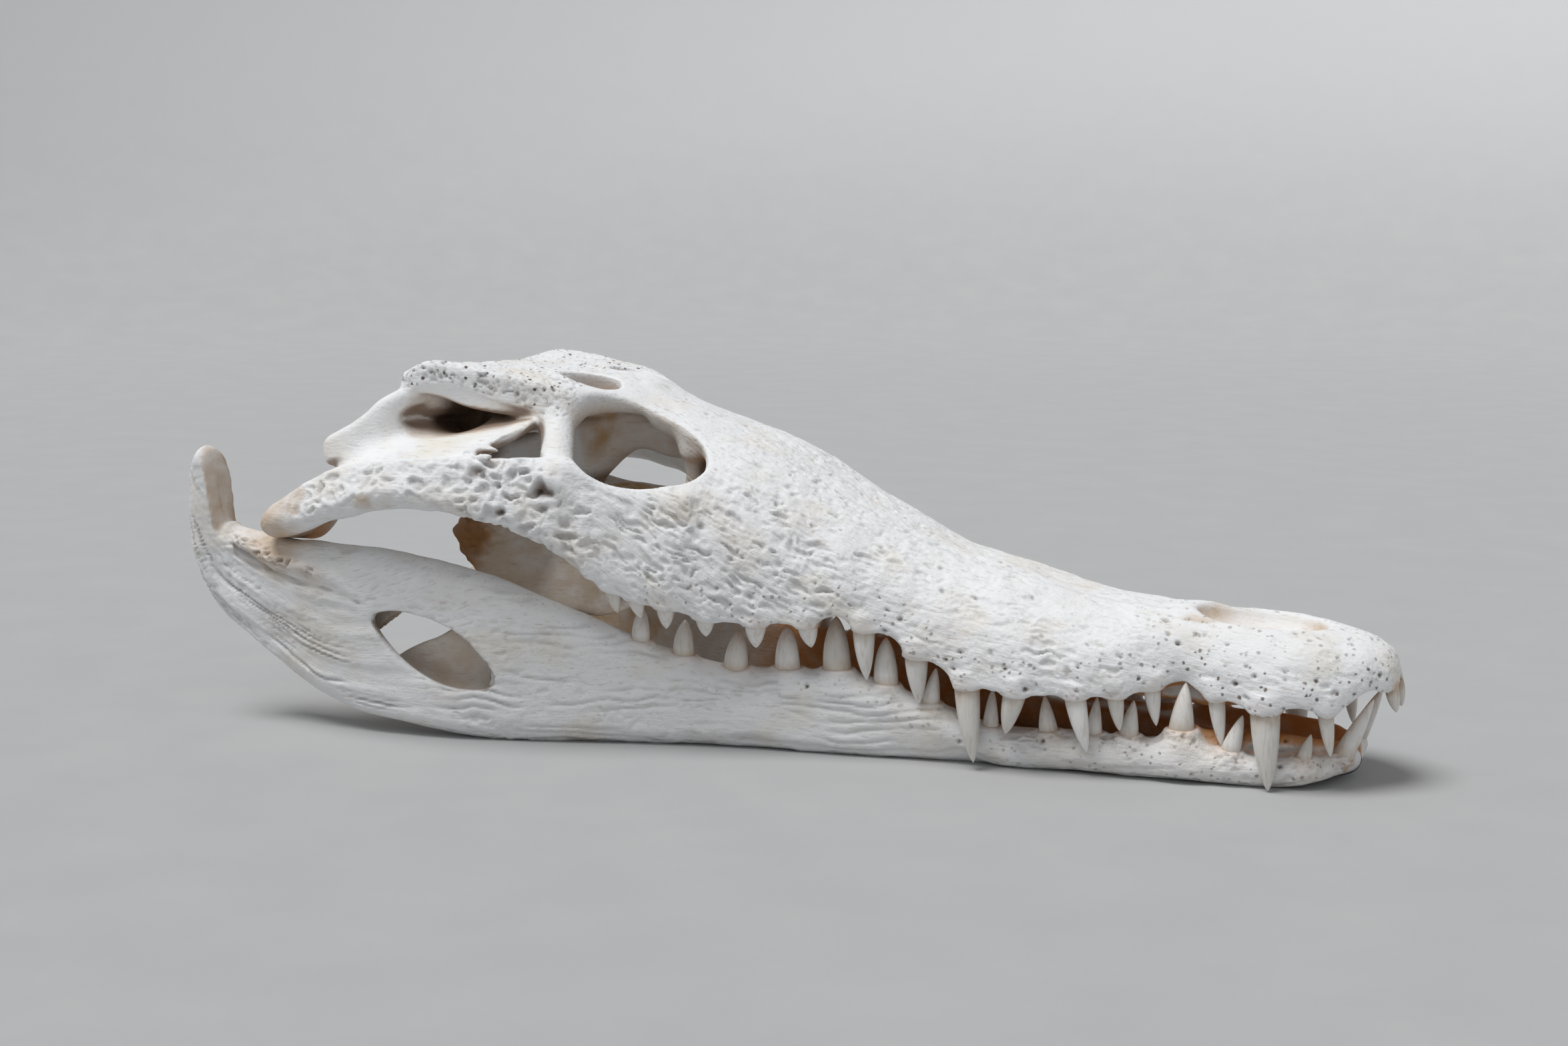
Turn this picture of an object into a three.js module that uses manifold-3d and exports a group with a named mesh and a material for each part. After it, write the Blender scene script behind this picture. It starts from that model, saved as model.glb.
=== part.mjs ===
// Crocodile skull with its lower jaw, life size: dry and bleached, lying on its jaw, mouth a little open.
// Millimetres. +X runs to the snout tip, +Y to the animal's left, +Z up, and z = 0 is what it lies on.
// Each bone is a loft of cross-sections along X, and the teeth are bent cones sunk into the jaw edges.
import * as THREE from "three";
import { mergeVertices } from "three/addons/utils/BufferGeometryUtils.js";
import Module from "manifold-3d";

const wasm = await Module();
wasm.setup();

// Driving sizes.
const SUTURE_GAP = 0.3; // between neighbouring bones, and between the jaws
const SIDES = [["right", -1], ["left", 1]];
const STEPS = 2; // sections made between two stated ones
const ARC_STEPS = 4; // facets round each rounded edge of a bone
const ARCH_STEPS = 14; // facets across the snout's back
const TOOTH_SIDES = 6;
const TOOTH_ROOT = 7; // how deep a tooth sits in its socket

// Sizes of the snout, as [x, value]: where the tooth rim runs, how high the back is, how boxy a section is.
const RIM_HALF_WIDTH = [
  [267, 4], [264.5, 11], [258, 20], [247, 30], [232, 37], [217, 38.5], [202, 35], [183, 30.5], [176, 34],
  [163, 42], [145, 48], [124, 52], [104, 53.5], [76, 51.5], [56, 52.5], [33, 58], [2, 66], [-30, 74],
];
const RIM_HEIGHT = [
  [267, 38.5], [256, 37.5], [246, 33], [232, 35.5], [217, 33], [202, 35], [191, 36], [183, 41.5], [175, 40],
  [163, 36.3], [145, 34.5], [104, 35.4], [91, 36.5], [76, 44], [66, 54], [56, 57.5], [45, 62], [33, 60],
  [16, 58], [2, 57.7], [-14, 59.5], [-30, 64],
];
const BACK_HEIGHT = [
  [267, 46], [264.5, 52], [257, 58.5], [248, 62], [224, 66], [200, 69], [168, 69], [137, 71.5], [108, 79],
  [78, 86.5], [44, 101], [19, 114], [5, 122], [-17, 131], [-30, 134.5],
];
const BOXINESS = [[267, 2.2], [230, 2.5], [180, 2.3], [100, 2.4], [40, 2.6], [0, 2.9], [-30, 3.2]];
const SNOUT_STATIONS = [
  267, 264.5, 261, 256, 250, 243, 234, 225, 216, 207, 198, 190, 183, 176, 168, 158, 146, 132, 118, 104, 92,
  84, 76, 66, 56, 45, 33, 20, 6, -8, -20, -30,
];
const PALATE_VAULT = 5;
const NARIS = { at: [209, 0, 71], half: [25, 19, 17], tilt: 0.06 };
const ORBIT = { at: [-56, 49, 126], half: [32, 33, 24] };
const ORBIT_SLANT = 0.45; // the eye socket looks up and outwards by this angle, in radians
const UPPER_FENESTRA = { at: [-99, 25, 150], half: [12, 9.5, 30] };
const EAR_RECESS = { at: [-148, 60, 141], half: [19, 10, 7.5] };
const JAW_WINDOW = { at: [-140, 112, 38.5], half: [42, 27, 20], tilt: 0.42 };
const JAW_WINDOW_THROUGH = { at: [-150, 80, 44], half: [15, 40, 8.5], tilt: 0.42 };

// Sections of the bones, as [x, out a, z a, out b, z b, radius a, radius b]: each is the outline round two
// circles a and b, and "out" is the distance from the middle plane.
const MAXILLA_TAIL = [
  [12, 52, 68, 50, 82, 7, 7], [-14, 63, 66.5, 60, 78, 7, 7], [-30, 68, 71, 66, 81, 7, 6],
  [-45, 71, 74, 70, 81, 6.5, 5.5], [-58, 75.5, 79, 75, 84, 6, 5], [-68, 80, 86, 80, 89, 5, 4],
];
const PALATINE = [
  [30, -15, 70, 15, 70, 8, 8], [0, -14, 72, 14, 72, 7, 7], [-40, -12, 79, 12, 79, 7, 7],
  [-88, -13, 90, 13, 90, 7, 7],
];
const ROOF = [
  [-12, -22, 118, 22, 118, 9, 9], [-30, -21, 126, 21, 126, 8, 8], [-47, -13, 132.5, 13, 132.5, 7.5, 7.5],
  [-64, -11, 137.5, 11, 137.5, 8, 8], [-78, -17, 141, 17, 141, 8.5, 8.5], [-86, -33, 143, 33, 143, 8.5, 8.5],
  [-95, -42, 145, 42, 145, 8.2, 8.2], [-106, -46.5, 147.5, 46.5, 147.5, 8, 8],
  [-125, -50, 150, 50, 150, 8.5, 8.5], [-146, -52.5, 153, 52.5, 153, 8.5, 8.5],
  [-158, -54, 154, 54, 154, 7, 7],
];
const SQUAMOSAL_HORN = [
  [-128, 50, 151, 52, 151, 7, 7], [-146, 52, 154, 53, 156, 8, 8], [-156, 53, 154, 54, 157, 7.5, 7.5],
  [-168, 56, 150, 57, 153, 5, 5],
];
const BRAINCASE = [
  [-76, 0, 122, 0, 136, 8, 8], [-95, 0, 114, 0, 140, 13, 13], [-120, 0, 110, 0, 142, 19, 19],
  [-148, 0, 116, 0, 142, 26, 22], [-164, 0, 122, 0, 140, 22, 20], [-172, 0, 122, 0, 136, 15, 15],
];
const OCCIPITAL_KNOB = { at: [-176, 0, 121], half: [12, 12, 10] };
const PAROCCIPITAL = [
  [-146, 36, 130, 36, 146, 11, 9], [-160, 52, 127, 52, 147, 8.5, 8], [-174, 65, 125, 64, 142, 7, 6.5],
  [-188, 70.5, 123, 69, 132, 6.2, 6], [-201, 74, 122, 73.5, 125.5, 4.5, 4.5],
];
const QUADRATE = [
  [-118, 88, 121, 52, 136, 4, 4], [-135, 90, 119, 46, 136, 5, 5.5], [-155, 92, 115, 46, 133, 7, 7],
  [-175, 92, 109.5, 58, 127, 8, 8], [-192, 91, 103.5, 68, 115, 8, 9], [-206, 92, 99, 73, 98, 8, 10],
  [-215, 94, 98, 76, 95, 7, 8], [-222, 95, 97, 78, 95, 4, 4],
];
const JUGAL = [
  [-30.3, 68, 89, 63, 108, 7, 6.5], [-38, 70, 87, 65.5, 107.5, 7, 6.2], [-47, 72, 85.5, 68, 108, 7, 6],
  [-58, 76, 84, 73, 111, 7, 6],
  [-71, 81, 90, 77, 120, 7, 6.2], [-87, 88, 99.8, 81.5, 121, 6.8, 6.2], [-100, 93, 105.3, 88, 121, 6.6, 6.2],
  [-115, 97.5, 108.4, 93, 120.5, 6.4, 6], [-135, 101, 111, 96, 120.5, 6.2, 6],
  [-156, 103, 109.8, 97, 118.5, 6.2, 6],
  [-172, 103, 105.5, 97, 116, 6, 6], [-187, 101, 101.3, 95, 112.5, 6, 6], [-200, 99, 97.5, 95, 106, 6, 6],
  [-210, 97, 97, 95, 101, 4, 4],
];
const POST = { top: [-99, 47, 138.5], foot: [-80, 84, 119], topRadius: 7, footRadius: 7, waist: 5.4 };
const PTERYGOID_WING = [
  [-46, 64, 74, 62, 84, 4, 4], [-58, 62, 63, 57, 90, 3.6, 4], [-78, 59, 58, 44, 94, 3.2, 4],
  [-102, 57, 60, 34, 98, 3, 4.5], [-122, 57, 70, 28, 101, 3.4, 5], [-134, 56, 84, 28, 102, 4, 4.5],
];
const PTERYGOID_PLATE = [
  [-80, -4, 91, 30, 91, 5, 4.5], [-104, -4, 96, 34, 96, 6, 5], [-128, -4, 101, 30, 101, 6, 5],
  [-140, -4, 104, 26, 104, 5, 4],
];
const JAW = [
  [252, -3, 9, 6, 10.5, 4, 4], [247, -4, 7, 14, 9.5, 5, 4], [238, -4, 6, 22, 8, 6, 5],
  [222, -4, 5.4, 27, 6.5, 6, 6],
  [206, -4, 5.8, 29, 7, 6.4, 6.4], [195, -4, 6.5, 30, 8.5, 7.1, 7], [187, -2, 7, 30, 11.5, 7.6, 7.6],
  [178, 10, 7, 30, 12.5, 7.6, 8], [163, 22, 7, 32, 8.5, 7.6, 8], [135, 26, 7.4, 33.5, 8.5, 8, 8.2],
  [104, 31, 7.6, 36, 8.2, 8.2, 8], [88, 34, 8, 37, 13.5, 8.6, 8.6], [60, 38, 8.6, 39.5, 21.5, 9.2, 9],
  [36, 41, 9, 41.5, 27, 9.6, 9], [6, 45, 9, 46, 26, 9.6, 9], [-12, 48, 9, 49, 27, 9.6, 8.8],
  [-43, 55, 9, 58, 35.5, 9.6, 8.4], [-83, 67, 9, 71, 52.5, 9.6, 8.4], [-118, 77, 9, 80.5, 66.5, 9.6, 8.6],
  [-155, 82.5, 13.6, 86, 73.2, 9.2, 8.8], [-180, 83.5, 17.8, 88, 75.4, 9.4, 8.8],
  [-198, 83, 23.5, 88, 76.8, 9.4, 8.8],
  [-220, 82, 36, 87, 78.5, 9.4, 8.4], [-236, 83, 46.6, 86, 80, 9.4, 8], [-246, 84, 54, 85, 84, 9.4, 8.6],
  [-251, 84.5, 59, 85.5, 110, 9.2, 9.2], [-258, 85.5, 70, 86, 116.5, 8.8, 8.8],
  [-264, 86.5, 86, 86.5, 112.5, 8, 7.6],
  [-267, 87, 100, 87, 108, 5, 5],
];
const GLENOID = { at: [-212, 84, 97], half: [18, 30, 14.5] }; // the hollow of the jaw joint
const BROKEN_END = -225; // the left jaw's rear process is lost behind the joint
const SYMPHYSIS_BACK = 190; // where the two jaw halves part, behind the chin
const DENTARY_BACK = -104;
const ARTICULAR_FRONT = -203;
const WINDOW_LINE = { x: -139, z: 40, slope: -0.446 }; // the suture between the jaw's upper and lower bones

// Teeth from the front backwards, as [x, inset from the jaw's edge, length, radius, lean forward, splay].
const UPPER_TEETH = [
  [264, 5, 9, 2.8, 12, 4], [256, 5, 8, 2.4, 8, 4], [241, 5, 16, 3.2, 10, 8], [218, 4.5, 31, 6.6, 3, 13],
  [197, 5, 20, 3.4, 2, 5], [172, 5, 15, 3.4, 2, 5], [157, 5, 13, 3.4, 9, 5], [141.5, 4.5, 20, 4.4, 12, 8],
  [117, 4.5, 16, 5, -10, 8], [95.5, 4.5, 28, 5.8, 4, 9], [72.5, 5, 21, 5.2, 2, 5], [50.5, 5, 20, 5, 0, 5],
  [26, 5, 9.5, 4.5, 6, 4], [4.5, 5, 10.5, 4.8, -4, 4], [-16.5, 5, 7.5, 4.2, -4, 4], [-33, 5, 8.5, 4, -4, 4],
  [-46, 5, 5.5, 3.6, 10, 4], [-56, 5, 8, 3.4, 10, 4],
];
const LOWER_TEETH = [
  [246, 5, 24, 4, 24, 4], [232, 5, 12, 3.2, 14, 4], [203, 6, 17, 4.2, 14, 2], [183.5, 7, 20, 5.6, 2, 2],
  [162.5, 6.5, 14.5, 4.2, 2, 2], [147.5, 6.5, 16, 3.6, 3, 2], [127.5, 6.5, 14.5, 4.2, -9, 2],
  [103.5, 6.5, 16, 3.4, 0, 2], [77, 6.5, 15.5, 4, 6, 2], [57, 7, 20, 5.2, 0, 2],
  [36, 7, 22, 6, -4, 2], [15.5, 7, 19, 5.6, -2, 2],
  [-8, 7, 16, 5.2, 4, 2], [-29, 7, 15.5, 4.8, 0, 2], [-48.5, 7, 15.5, 4.2, 0, 2],
];

// Smooth curve through stated rows: the value row at a fraction of the way from row i to row i + 1.
function between(rows, i, t) {
  const row = (k) => rows[THREE.MathUtils.clamp(k, 0, rows.length - 1)];
  return rows[i].map((_, c) => {
    const [before, from, to, after] = [row(i - 1)[c], row(i)[c], row(i + 1)[c], row(i + 2)[c]];
    const [leave, arrive] = [(to - before) / 2, (after - from) / 2];
    const [t2, t3] = [t * t, t * t * t];
    const ends = (2 * t3 - 3 * t2 + 1) * from + (3 * t2 - 2 * t3) * to;
    return ends + (t3 - 2 * t2 + t) * leave + (t3 - t2) * arrive;
  });
}

// Straight-line reading of a list of [x, value] that runs from the snout tip backwards.
function valueAt(list, x) {
  let i = 0;
  while (i < list.length - 2 && x < list[i + 1][0]) i++;
  const [[xa, a], [xb, b]] = [list[i], list[i + 1]];
  return a + ((b - a) * (x - xa)) / (xb - xa);
}

// Closed skin over rings with the same number of points, each end closed by a fan to a tip point.
function loft(rings, tips = [rings[0], rings.at(-1)].map(centreOf)) {
  const count = rings[0].length;
  const points = [...rings.flat(), ...tips];
  const [firstTip, lastTip] = [points.length - 2, points.length - 1];
  const lastRing = (rings.length - 1) * count;
  const faces = [];
  for (let r = 0; r + 1 < rings.length; r++) {
    for (let k = 0; k < count; k++) {
      const [a, b] = [r * count + k, r * count + ((k + 1) % count)];
      faces.push(a, b, a + count, b, b + count, a + count);
    }
  }
  for (let k = 0; k < count; k++) {
    const next = (k + 1) % count;
    faces.push(firstTip, next, k, lastTip, lastRing + k, lastRing + next);
  }
  if (volumeOf(points, faces) < 0) faces.reverse();
  const geometry = new THREE.BufferGeometry().setFromPoints(points);
  geometry.setIndex(faces);
  return geometry;
}

function centreOf(ring) {
  return ring.reduce((sum, p) => sum.add(p), new THREE.Vector3()).divideScalar(ring.length);
}

function volumeOf(points, faces) {
  let six = 0;
  for (let i = 0; i < faces.length; i += 3) {
    const [a, b, c] = [points[faces[i]], points[faces[i + 1]], points[faces[i + 2]]];
    six += a.dot(new THREE.Vector3().crossVectors(b, c));
  }
  return six / 6;
}

// A three.js geometry as a solid that can be joined and cut.
function solid(geometry) {
  const bare = geometry.clone();
  bare.deleteAttribute("normal");
  bare.deleteAttribute("uv");
  const merged = mergeVertices(bare);
  const vertProperties = merged.attributes.position.array;
  const triVerts = new Uint32Array(merged.index.array);
  return new wasm.Manifold(new wasm.Mesh({ numProp: 3, vertProperties, triVerts }));
}

function join(...solids) {
  return solids.reduce((all, next) => all.add(next));
}

function cut(body, ...cutters) {
  return cutters.reduce((rest, cutter) => rest.subtract(cutter), body);
}

function largest(body) {
  return body.decompose().reduce((most, next) => (next.volume() > most.volume() ? next : most));
}

// Outline round two circles in the plane x = const, grown outwards by grow.
function sectionRing([x, outA, zA, outB, zB, radiusA, radiusB], side, grow) {
  const along = Math.atan2(zB - zA, outB - outA);
  const ring = [];
  const quarter = Math.PI / 2;
  for (const [out, z, radius, start] of [[outA, zA, radiusA, quarter], [outB, zB, radiusB, -quarter]]) {
    for (let k = 0; k <= ARC_STEPS; k++) {
      const angle = along + start + (Math.PI * k) / ARC_STEPS;
      const reach = radius + grow;
      ring.push(new THREE.Vector3(x, side * (out + reach * Math.cos(angle)), z + reach * Math.sin(angle)));
    }
  }
  return ring;
}

// A bone lofted through its sections; grow makes the fatter copy that is cut out of a neighbour.
function bone(sections, side = 1, grow = 0, steps = STEPS) {
  const rows = [];
  for (let i = 0; i + 1 < sections.length; i++) {
    for (let k = 0; k < steps; k++) rows.push(between(sections, i, k / steps));
  }
  rows.push(sections.at(-1));
  const rings = rows.map((row) => sectionRing(row, side, grow));
  for (const p of rings[0]) p.x += grow;
  for (const p of rings.at(-1)) p.x -= grow;
  return solid(loft(rings));
}

// The snout: an arched back over a shallow palate, its edge waved where the teeth grow.
function snoutShell(grow = 0) {
  const rings = SNOUT_STATIONS.map((x, index) => {
    const [half, rim] = [valueAt(RIM_HALF_WIDTH, x) + grow, valueAt(RIM_HEIGHT, x) - grow];
    const rise = valueAt(BACK_HEIGHT, x) + grow - rim;
    const power = 2 / valueAt(BOXINESS, x);
    const end = index === 0 ? grow : index === SNOUT_STATIONS.length - 1 ? -grow : 0;
    const ring = [];
    for (let k = 0; k <= ARCH_STEPS; k++) {
      const angle = (Math.PI * k) / ARCH_STEPS;
      const [c, s] = [Math.cos(angle), Math.sin(angle)];
      const out = half * Math.sign(c) * Math.abs(c) ** power;
      ring.push(new THREE.Vector3(x + end, out, rim + rise * Math.abs(s) ** power));
    }
    for (const share of [-0.82, -0.5, 0, 0.5, 0.82]) {
      const vault = Math.min(PALATE_VAULT, rise / 4) * (1 - share * share);
      ring.push(new THREE.Vector3(x + end, half * share, rim + vault));
    }
    return ring;
  });
  return solid(loft(rings));
}

function ellipsoid({ at, half, tilt = 0 }, side = 1, slant = 0) {
  const geometry = new THREE.SphereGeometry(1, 18, 12);
  geometry.scale(...half).rotateX(-side * slant).rotateY(tilt);
  geometry.translate(at[0], side * at[1], at[2]);
  return solid(geometry);
}

// A bent, tapering tooth from its socket to its tip. up is 1 in the lower jaw and -1 in the upper jaw.
function tooth([x, inset, length, radius, lean, splay], edge, side, up) {
  const base = new THREE.Vector3(x, side * (edge.out - inset), edge.z);
  const [forward, outward] = [lean, splay].map((angle) => Math.tan(THREE.MathUtils.degToRad(angle)));
  const axis = new THREE.Vector3(forward, side * outward, up).normalize();
  const bend = new THREE.Vector3(0, -side * 0.12 * length, 0);
  const waists = [[-TOOTH_ROOT, 1], [0.42 * length, 0.8], [0.8 * length, 0.42]];
  const rings = waists.map(([along, share]) => {
    const bent = (Math.max(along, 0) / length) ** 2;
    const centre = base.clone().addScaledVector(axis, along).addScaledVector(bend, bent);
    return Array.from({ length: TOOTH_SIDES }, (_, k) => {
      const angle = (2 * Math.PI * k) / TOOTH_SIDES;
      const across = new THREE.Vector3(Math.cos(angle), Math.sin(angle), 0);
      return centre.clone().addScaledVector(across, radius * share);
    });
  });
  const tip = base.clone().addScaledVector(axis, length).add(bend);
  return solid(loft(rings, [centreOf(rings[0]), tip]));
}

// Where the upper teeth grow: the snout's rim, and behind it the under-edge of the maxilla's tail.
function upperEdge(x) {
  if (x > -14) return { out: valueAt(RIM_HALF_WIDTH, x), z: valueAt(RIM_HEIGHT, x) + 1 };
  const i = MAXILLA_TAIL.findIndex((row) => row[0] <= x) - 1;
  const [front, back] = [MAXILLA_TAIL[i][0], MAXILLA_TAIL[i + 1][0]];
  const row = between(MAXILLA_TAIL, i, (front - x) / (front - back));
  return { out: row[1] + row[5], z: row[2] - row[5] + 1 };
}

function lowerEdge(x) {
  const i = JAW.findIndex((row) => row[0] <= x) - 1;
  const row = between(JAW, i, (JAW[i][0] - x) / (JAW[i][0] - JAW[i + 1][0]));
  return { out: row[3] + row[6], z: row[4] + row[6] - 1.5 };
}

// Large blocks whose faces are the cutting planes.
const REACH = 800;
function block(low, high) {
  const geometry = new THREE.BoxGeometry(...low.map((v, k) => high[k] - v));
  geometry.translate(...low.map((v, k) => (v + high[k]) / 2));
  return solid(geometry);
}
function ownHalf(side) {
  const inner = SUTURE_GAP / 2;
  if (side < 0) return block([-REACH, -REACH, -REACH], [REACH, -inner, REACH]);
  return block([-REACH, inner, -REACH], [REACH, REACH, REACH]);
}

// The plane through the jaw's window, as a block above or below it.
function windowHalf(above) {
  const offset = (above ? 1 : -1) * (REACH / 2 + SUTURE_GAP / 2);
  const geometry = new THREE.BoxGeometry(REACH, REACH, REACH).translate(0, 0, offset);
  geometry.rotateY(-Math.atan(WINDOW_LINE.slope)).translate(WINDOW_LINE.x, 0, WINDOW_LINE.z);
  return solid(geometry);
}

// The post behind the eye, thinnest half way down.
function postorbitalBar(side) {
  const { top, foot, topRadius, footRadius, waist } = POST;
  const [from, to] = [top, foot].map(([x, out, z]) => new THREE.Vector3(x, side * out, z));
  const axis = to.clone().sub(from);
  const across = new THREE.Vector3(1, 0, 0).cross(axis).normalize();
  const beside = new THREE.Vector3().crossVectors(axis, across).normalize();
  const waists = [[0, topRadius], [0.3, waist + 0.6], [0.6, waist], [1, footRadius]];
  const rings = waists.map(([share, radius]) => {
    const centre = from.clone().addScaledVector(axis, share);
    return Array.from({ length: 2 * ARC_STEPS }, (_, k) => {
      const angle = (Math.PI * k) / ARC_STEPS;
      const [c, s] = [Math.cos(angle), Math.sin(angle)];
      return centre.clone().addScaledVector(across, radius * c).addScaledVector(beside, radius * s);
    });
  });
  return solid(loft(rings));
}

// Bone and tooth finishes.
const boneWhite = new THREE.MeshStandardMaterial({ color: 0xe9e5dc, roughness: 0.75, metalness: 0 });
const skull = new THREE.Group();
function place(name, body) {
  const { vertProperties, triVerts } = largest(body).getMesh();
  const geometry = new THREE.BufferGeometry();
  geometry.setAttribute("position", new THREE.BufferAttribute(new Float32Array(vertProperties), 3));
  geometry.setIndex(new THREE.BufferAttribute(new Uint32Array(triVerts), 1));
  geometry.computeVertexNormals();
  const mesh = new THREE.Mesh(geometry, boneWhite);
  mesh.name = name;
  skull.add(mesh);
}

// Snout: premaxillae, maxillae, nasals and palatines, with the upper teeth.
const orbits = SIDES.map(([, side]) => ellipsoid(ORBIT, side, ORBIT_SLANT));
const upperTeeth = SIDES.flatMap(([, side]) => {
  return UPPER_TEETH.map((row) => tooth(row, upperEdge(row[0]), side, -1));
});
function snoutBody(grow) {
  const tails = SIDES.map(([, side]) => bone(MAXILLA_TAIL, side, grow, 1));
  return cut(join(snoutShell(grow), ...tails, bone(PALATINE, 1, grow, 1)), ...orbits);
}
place("snout", join(cut(snoutBody(0), ellipsoid(NARIS)), ...upperTeeth));
const snoutRoom = snoutBody(SUTURE_GAP);

// Cranium: frontal bar between the eyes, skull table with its two upper windows, braincase and occiput.
const recesses = SIDES.flatMap(([, side]) => [ellipsoid(UPPER_FENESTRA, side), ellipsoid(EAR_RECESS, side)]);
function craniumBody(grow) {
  const horns = SIDES.map(([, side]) => bone(SQUAMOSAL_HORN, side, grow));
  const wings = SIDES.map(([, side]) => bone(PAROCCIPITAL, side, grow));
  return join(bone(ROOF, 1, grow), bone(BRAINCASE, 1, grow), ellipsoid(OCCIPITAL_KNOB), ...horns, ...wings);
}
place("cranium", cut(craniumBody(0), ...recesses, snoutRoom));
const craniumRoom = cut(craniumBody(SUTURE_GAP), ...recesses);

for (const [name, side] of SIDES) {
  // Quadrate, from the ear region down to the jaw joint.
  place(`quadrate_${name}`, cut(bone(QUADRATE, side), craniumRoom));

  // Cheek: jugal and quadratojugal bar, with the post that rises behind the eye.
  const cheek = join(bone(JUGAL, side), postorbitalBar(side));
  const cheekNeighbours = [snoutRoom, craniumRoom, bone(QUADRATE, side, SUTURE_GAP)];
  place(`jugal_${name}`, cut(cheek, ellipsoid(ORBIT, side, ORBIT_SLANT), ...cheekNeighbours));

  // Pterygoid with its wing, which hangs under the braincase and reaches out to the cheek.
  const wing = join(bone(PTERYGOID_WING, side), bone(PTERYGOID_PLATE, side).intersect(ownHalf(side)));
  place(`pterygoid_${name}`, cut(wing, snoutRoom, craniumRoom, bone(JUGAL, side, SUTURE_GAP)));

  // Lower jaw: one loft, planed flat where it lies, hollowed at the joint, pierced by its window and parted.
  const hollows = [GLENOID, JAW_WINDOW, JAW_WINDOW_THROUGH].map((shape) => ellipsoid(shape, side));
  const jaw = cut(bone(JAW, side), ...hollows).intersect(ownHalf(side));
  const half = SUTURE_GAP / 2;
  const dentary = jaw.intersect(block([DENTARY_BACK + half, -REACH, 0], [REACH, REACH, REACH]));
  const lowerTeeth = LOWER_TEETH.map((row) => tooth(row, lowerEdge(row[0]), side, 1));
  place(`dentary_${name}`, join(dentary, ...lowerTeeth).intersect(ownHalf(side)));
  const middleRange = [ARTICULAR_FRONT + half, DENTARY_BACK - half];
  const middle = jaw.intersect(block([middleRange[0], -REACH, 0], [middleRange[1], REACH, REACH]));
  place(`surangular_${name}`, middle.intersect(windowHalf(true)));
  place(`angular_${name}`, middle.intersect(windowHalf(false)));
  const rear = side < 0 ? -REACH : BROKEN_END;
  const rearRange = block([rear, -REACH, 0], [ARTICULAR_FRONT - half, REACH, REACH]);
  place(`articular_${name}`, jaw.intersect(rearRange));
}

export default skull;
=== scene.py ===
# A crocodile's dry, bleached skull lying on its lower jaw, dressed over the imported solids.
# Sizes are millimetres until a mesh is made, in the solids' own frame: +X snout, +Y animal's left, +Z up.
import math

import bmesh
import bpy
import numpy as np
import openvdb
from mathutils import Matrix, Vector


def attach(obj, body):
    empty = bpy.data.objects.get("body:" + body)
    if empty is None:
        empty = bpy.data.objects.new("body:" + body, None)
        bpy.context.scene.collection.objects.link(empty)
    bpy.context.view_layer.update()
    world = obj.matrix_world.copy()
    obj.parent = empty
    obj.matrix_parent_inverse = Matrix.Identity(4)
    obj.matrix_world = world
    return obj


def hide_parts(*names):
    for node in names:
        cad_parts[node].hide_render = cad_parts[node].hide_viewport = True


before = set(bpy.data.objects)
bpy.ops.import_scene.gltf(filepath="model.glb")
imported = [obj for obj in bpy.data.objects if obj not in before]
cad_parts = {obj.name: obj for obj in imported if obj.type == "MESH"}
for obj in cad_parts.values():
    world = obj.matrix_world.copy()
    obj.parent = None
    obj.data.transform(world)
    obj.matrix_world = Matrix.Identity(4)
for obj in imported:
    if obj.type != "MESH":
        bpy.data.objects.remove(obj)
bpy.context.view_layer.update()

# The upper skull's form: plates of bone that have grown together along their sutures into one stiff shell.
# Each plate is a run of sections from front to back, and the plates melt into each other where they meet.
# A section is two circles with a flat between them: [x, out a, z a, out b, z b, radius a, radius b].
VOXEL = 0.85
FAR = 20.0  # the distance field's value well away from bone
SKIN = 3.0  # only distances this near the surface are meshed
FADE = 12.0  # over which softening dies away
UPPER_BLOCK = ((-234.0, 0.0, 28.0), (272.0, 113.0, 173.0))
RIM_HALF_WIDTH = [
    (267, 4), (264.5, 11), (258, 20), (247, 30), (232, 37), (217, 38.5), (202, 35), (183, 30.5), (176, 34),
    (163, 42), (145, 48), (124, 52), (104, 53.5), (76, 51.5), (56, 52.5), (33, 58), (2, 66), (-30, 75),
    (-41, 78), (-56, 82), (-72, 88),
]
RIM_HEIGHT = [
    (267, 38.5), (262, 39), (257, 41), (252, 38), (246, 33), (232, 35.5), (217, 33), (202, 35), (191, 36),
    (183, 41.5), (175, 40), (163, 36.3), (145, 34.5), (104, 35.4), (92, 36.4), (85, 42.5), (79, 45.2),
    (71, 47.6), (66, 52.5), (57, 55.6), (48, 57), (40, 62), (33, 60.4), (27, 57.8), (16, 58), (2, 57.7),
    (-14, 59.5), (-30, 64), (-41, 66), (-56, 72), (-72, 83),
]
PALATE_HEIGHT = [
    (267, 45), (258, 43), (246, 39), (230, 37), (200, 36.5), (183, 36.3), (163, 37.5), (104, 40), (76, 49),
    (56, 59), (33, 65), (0, 67), (-30, 74), (-72, 92),
]
BACK_HEIGHT = [
    (267, 46), (264.5, 52), (257, 58.5), (248, 62), (224, 66), (200, 69), (168, 69), (137, 71.5),
    (108, 79), (78, 86.5), (44, 101), (19, 114), (5, 122), (-17, 131.5), (-30, 135.5), (-47, 140.5),
    (-72, 148),
]
BOXINESS = [(267, 2.2), (230, 2.5), (180, 2.3), (100, 2.4), (40, 2.5), (0, 2.6), (-30, 2.55), (-72, 2.5)]
SNOUT_ROOM = ((-90, -1, 0), (275, 113, 180))
SNOUT_TIP = 266.5
SNOUT_END = -64.0  # the cheek plates go on under the eye to here
RIM_ROUNDING = 2.5
EYE_FRONT = -25.0  # behind this the snout is a shell, open below
SHELL = 9.0
THROAT_DROP = 60.0  # how far below the palate the shell is cleared
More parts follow.
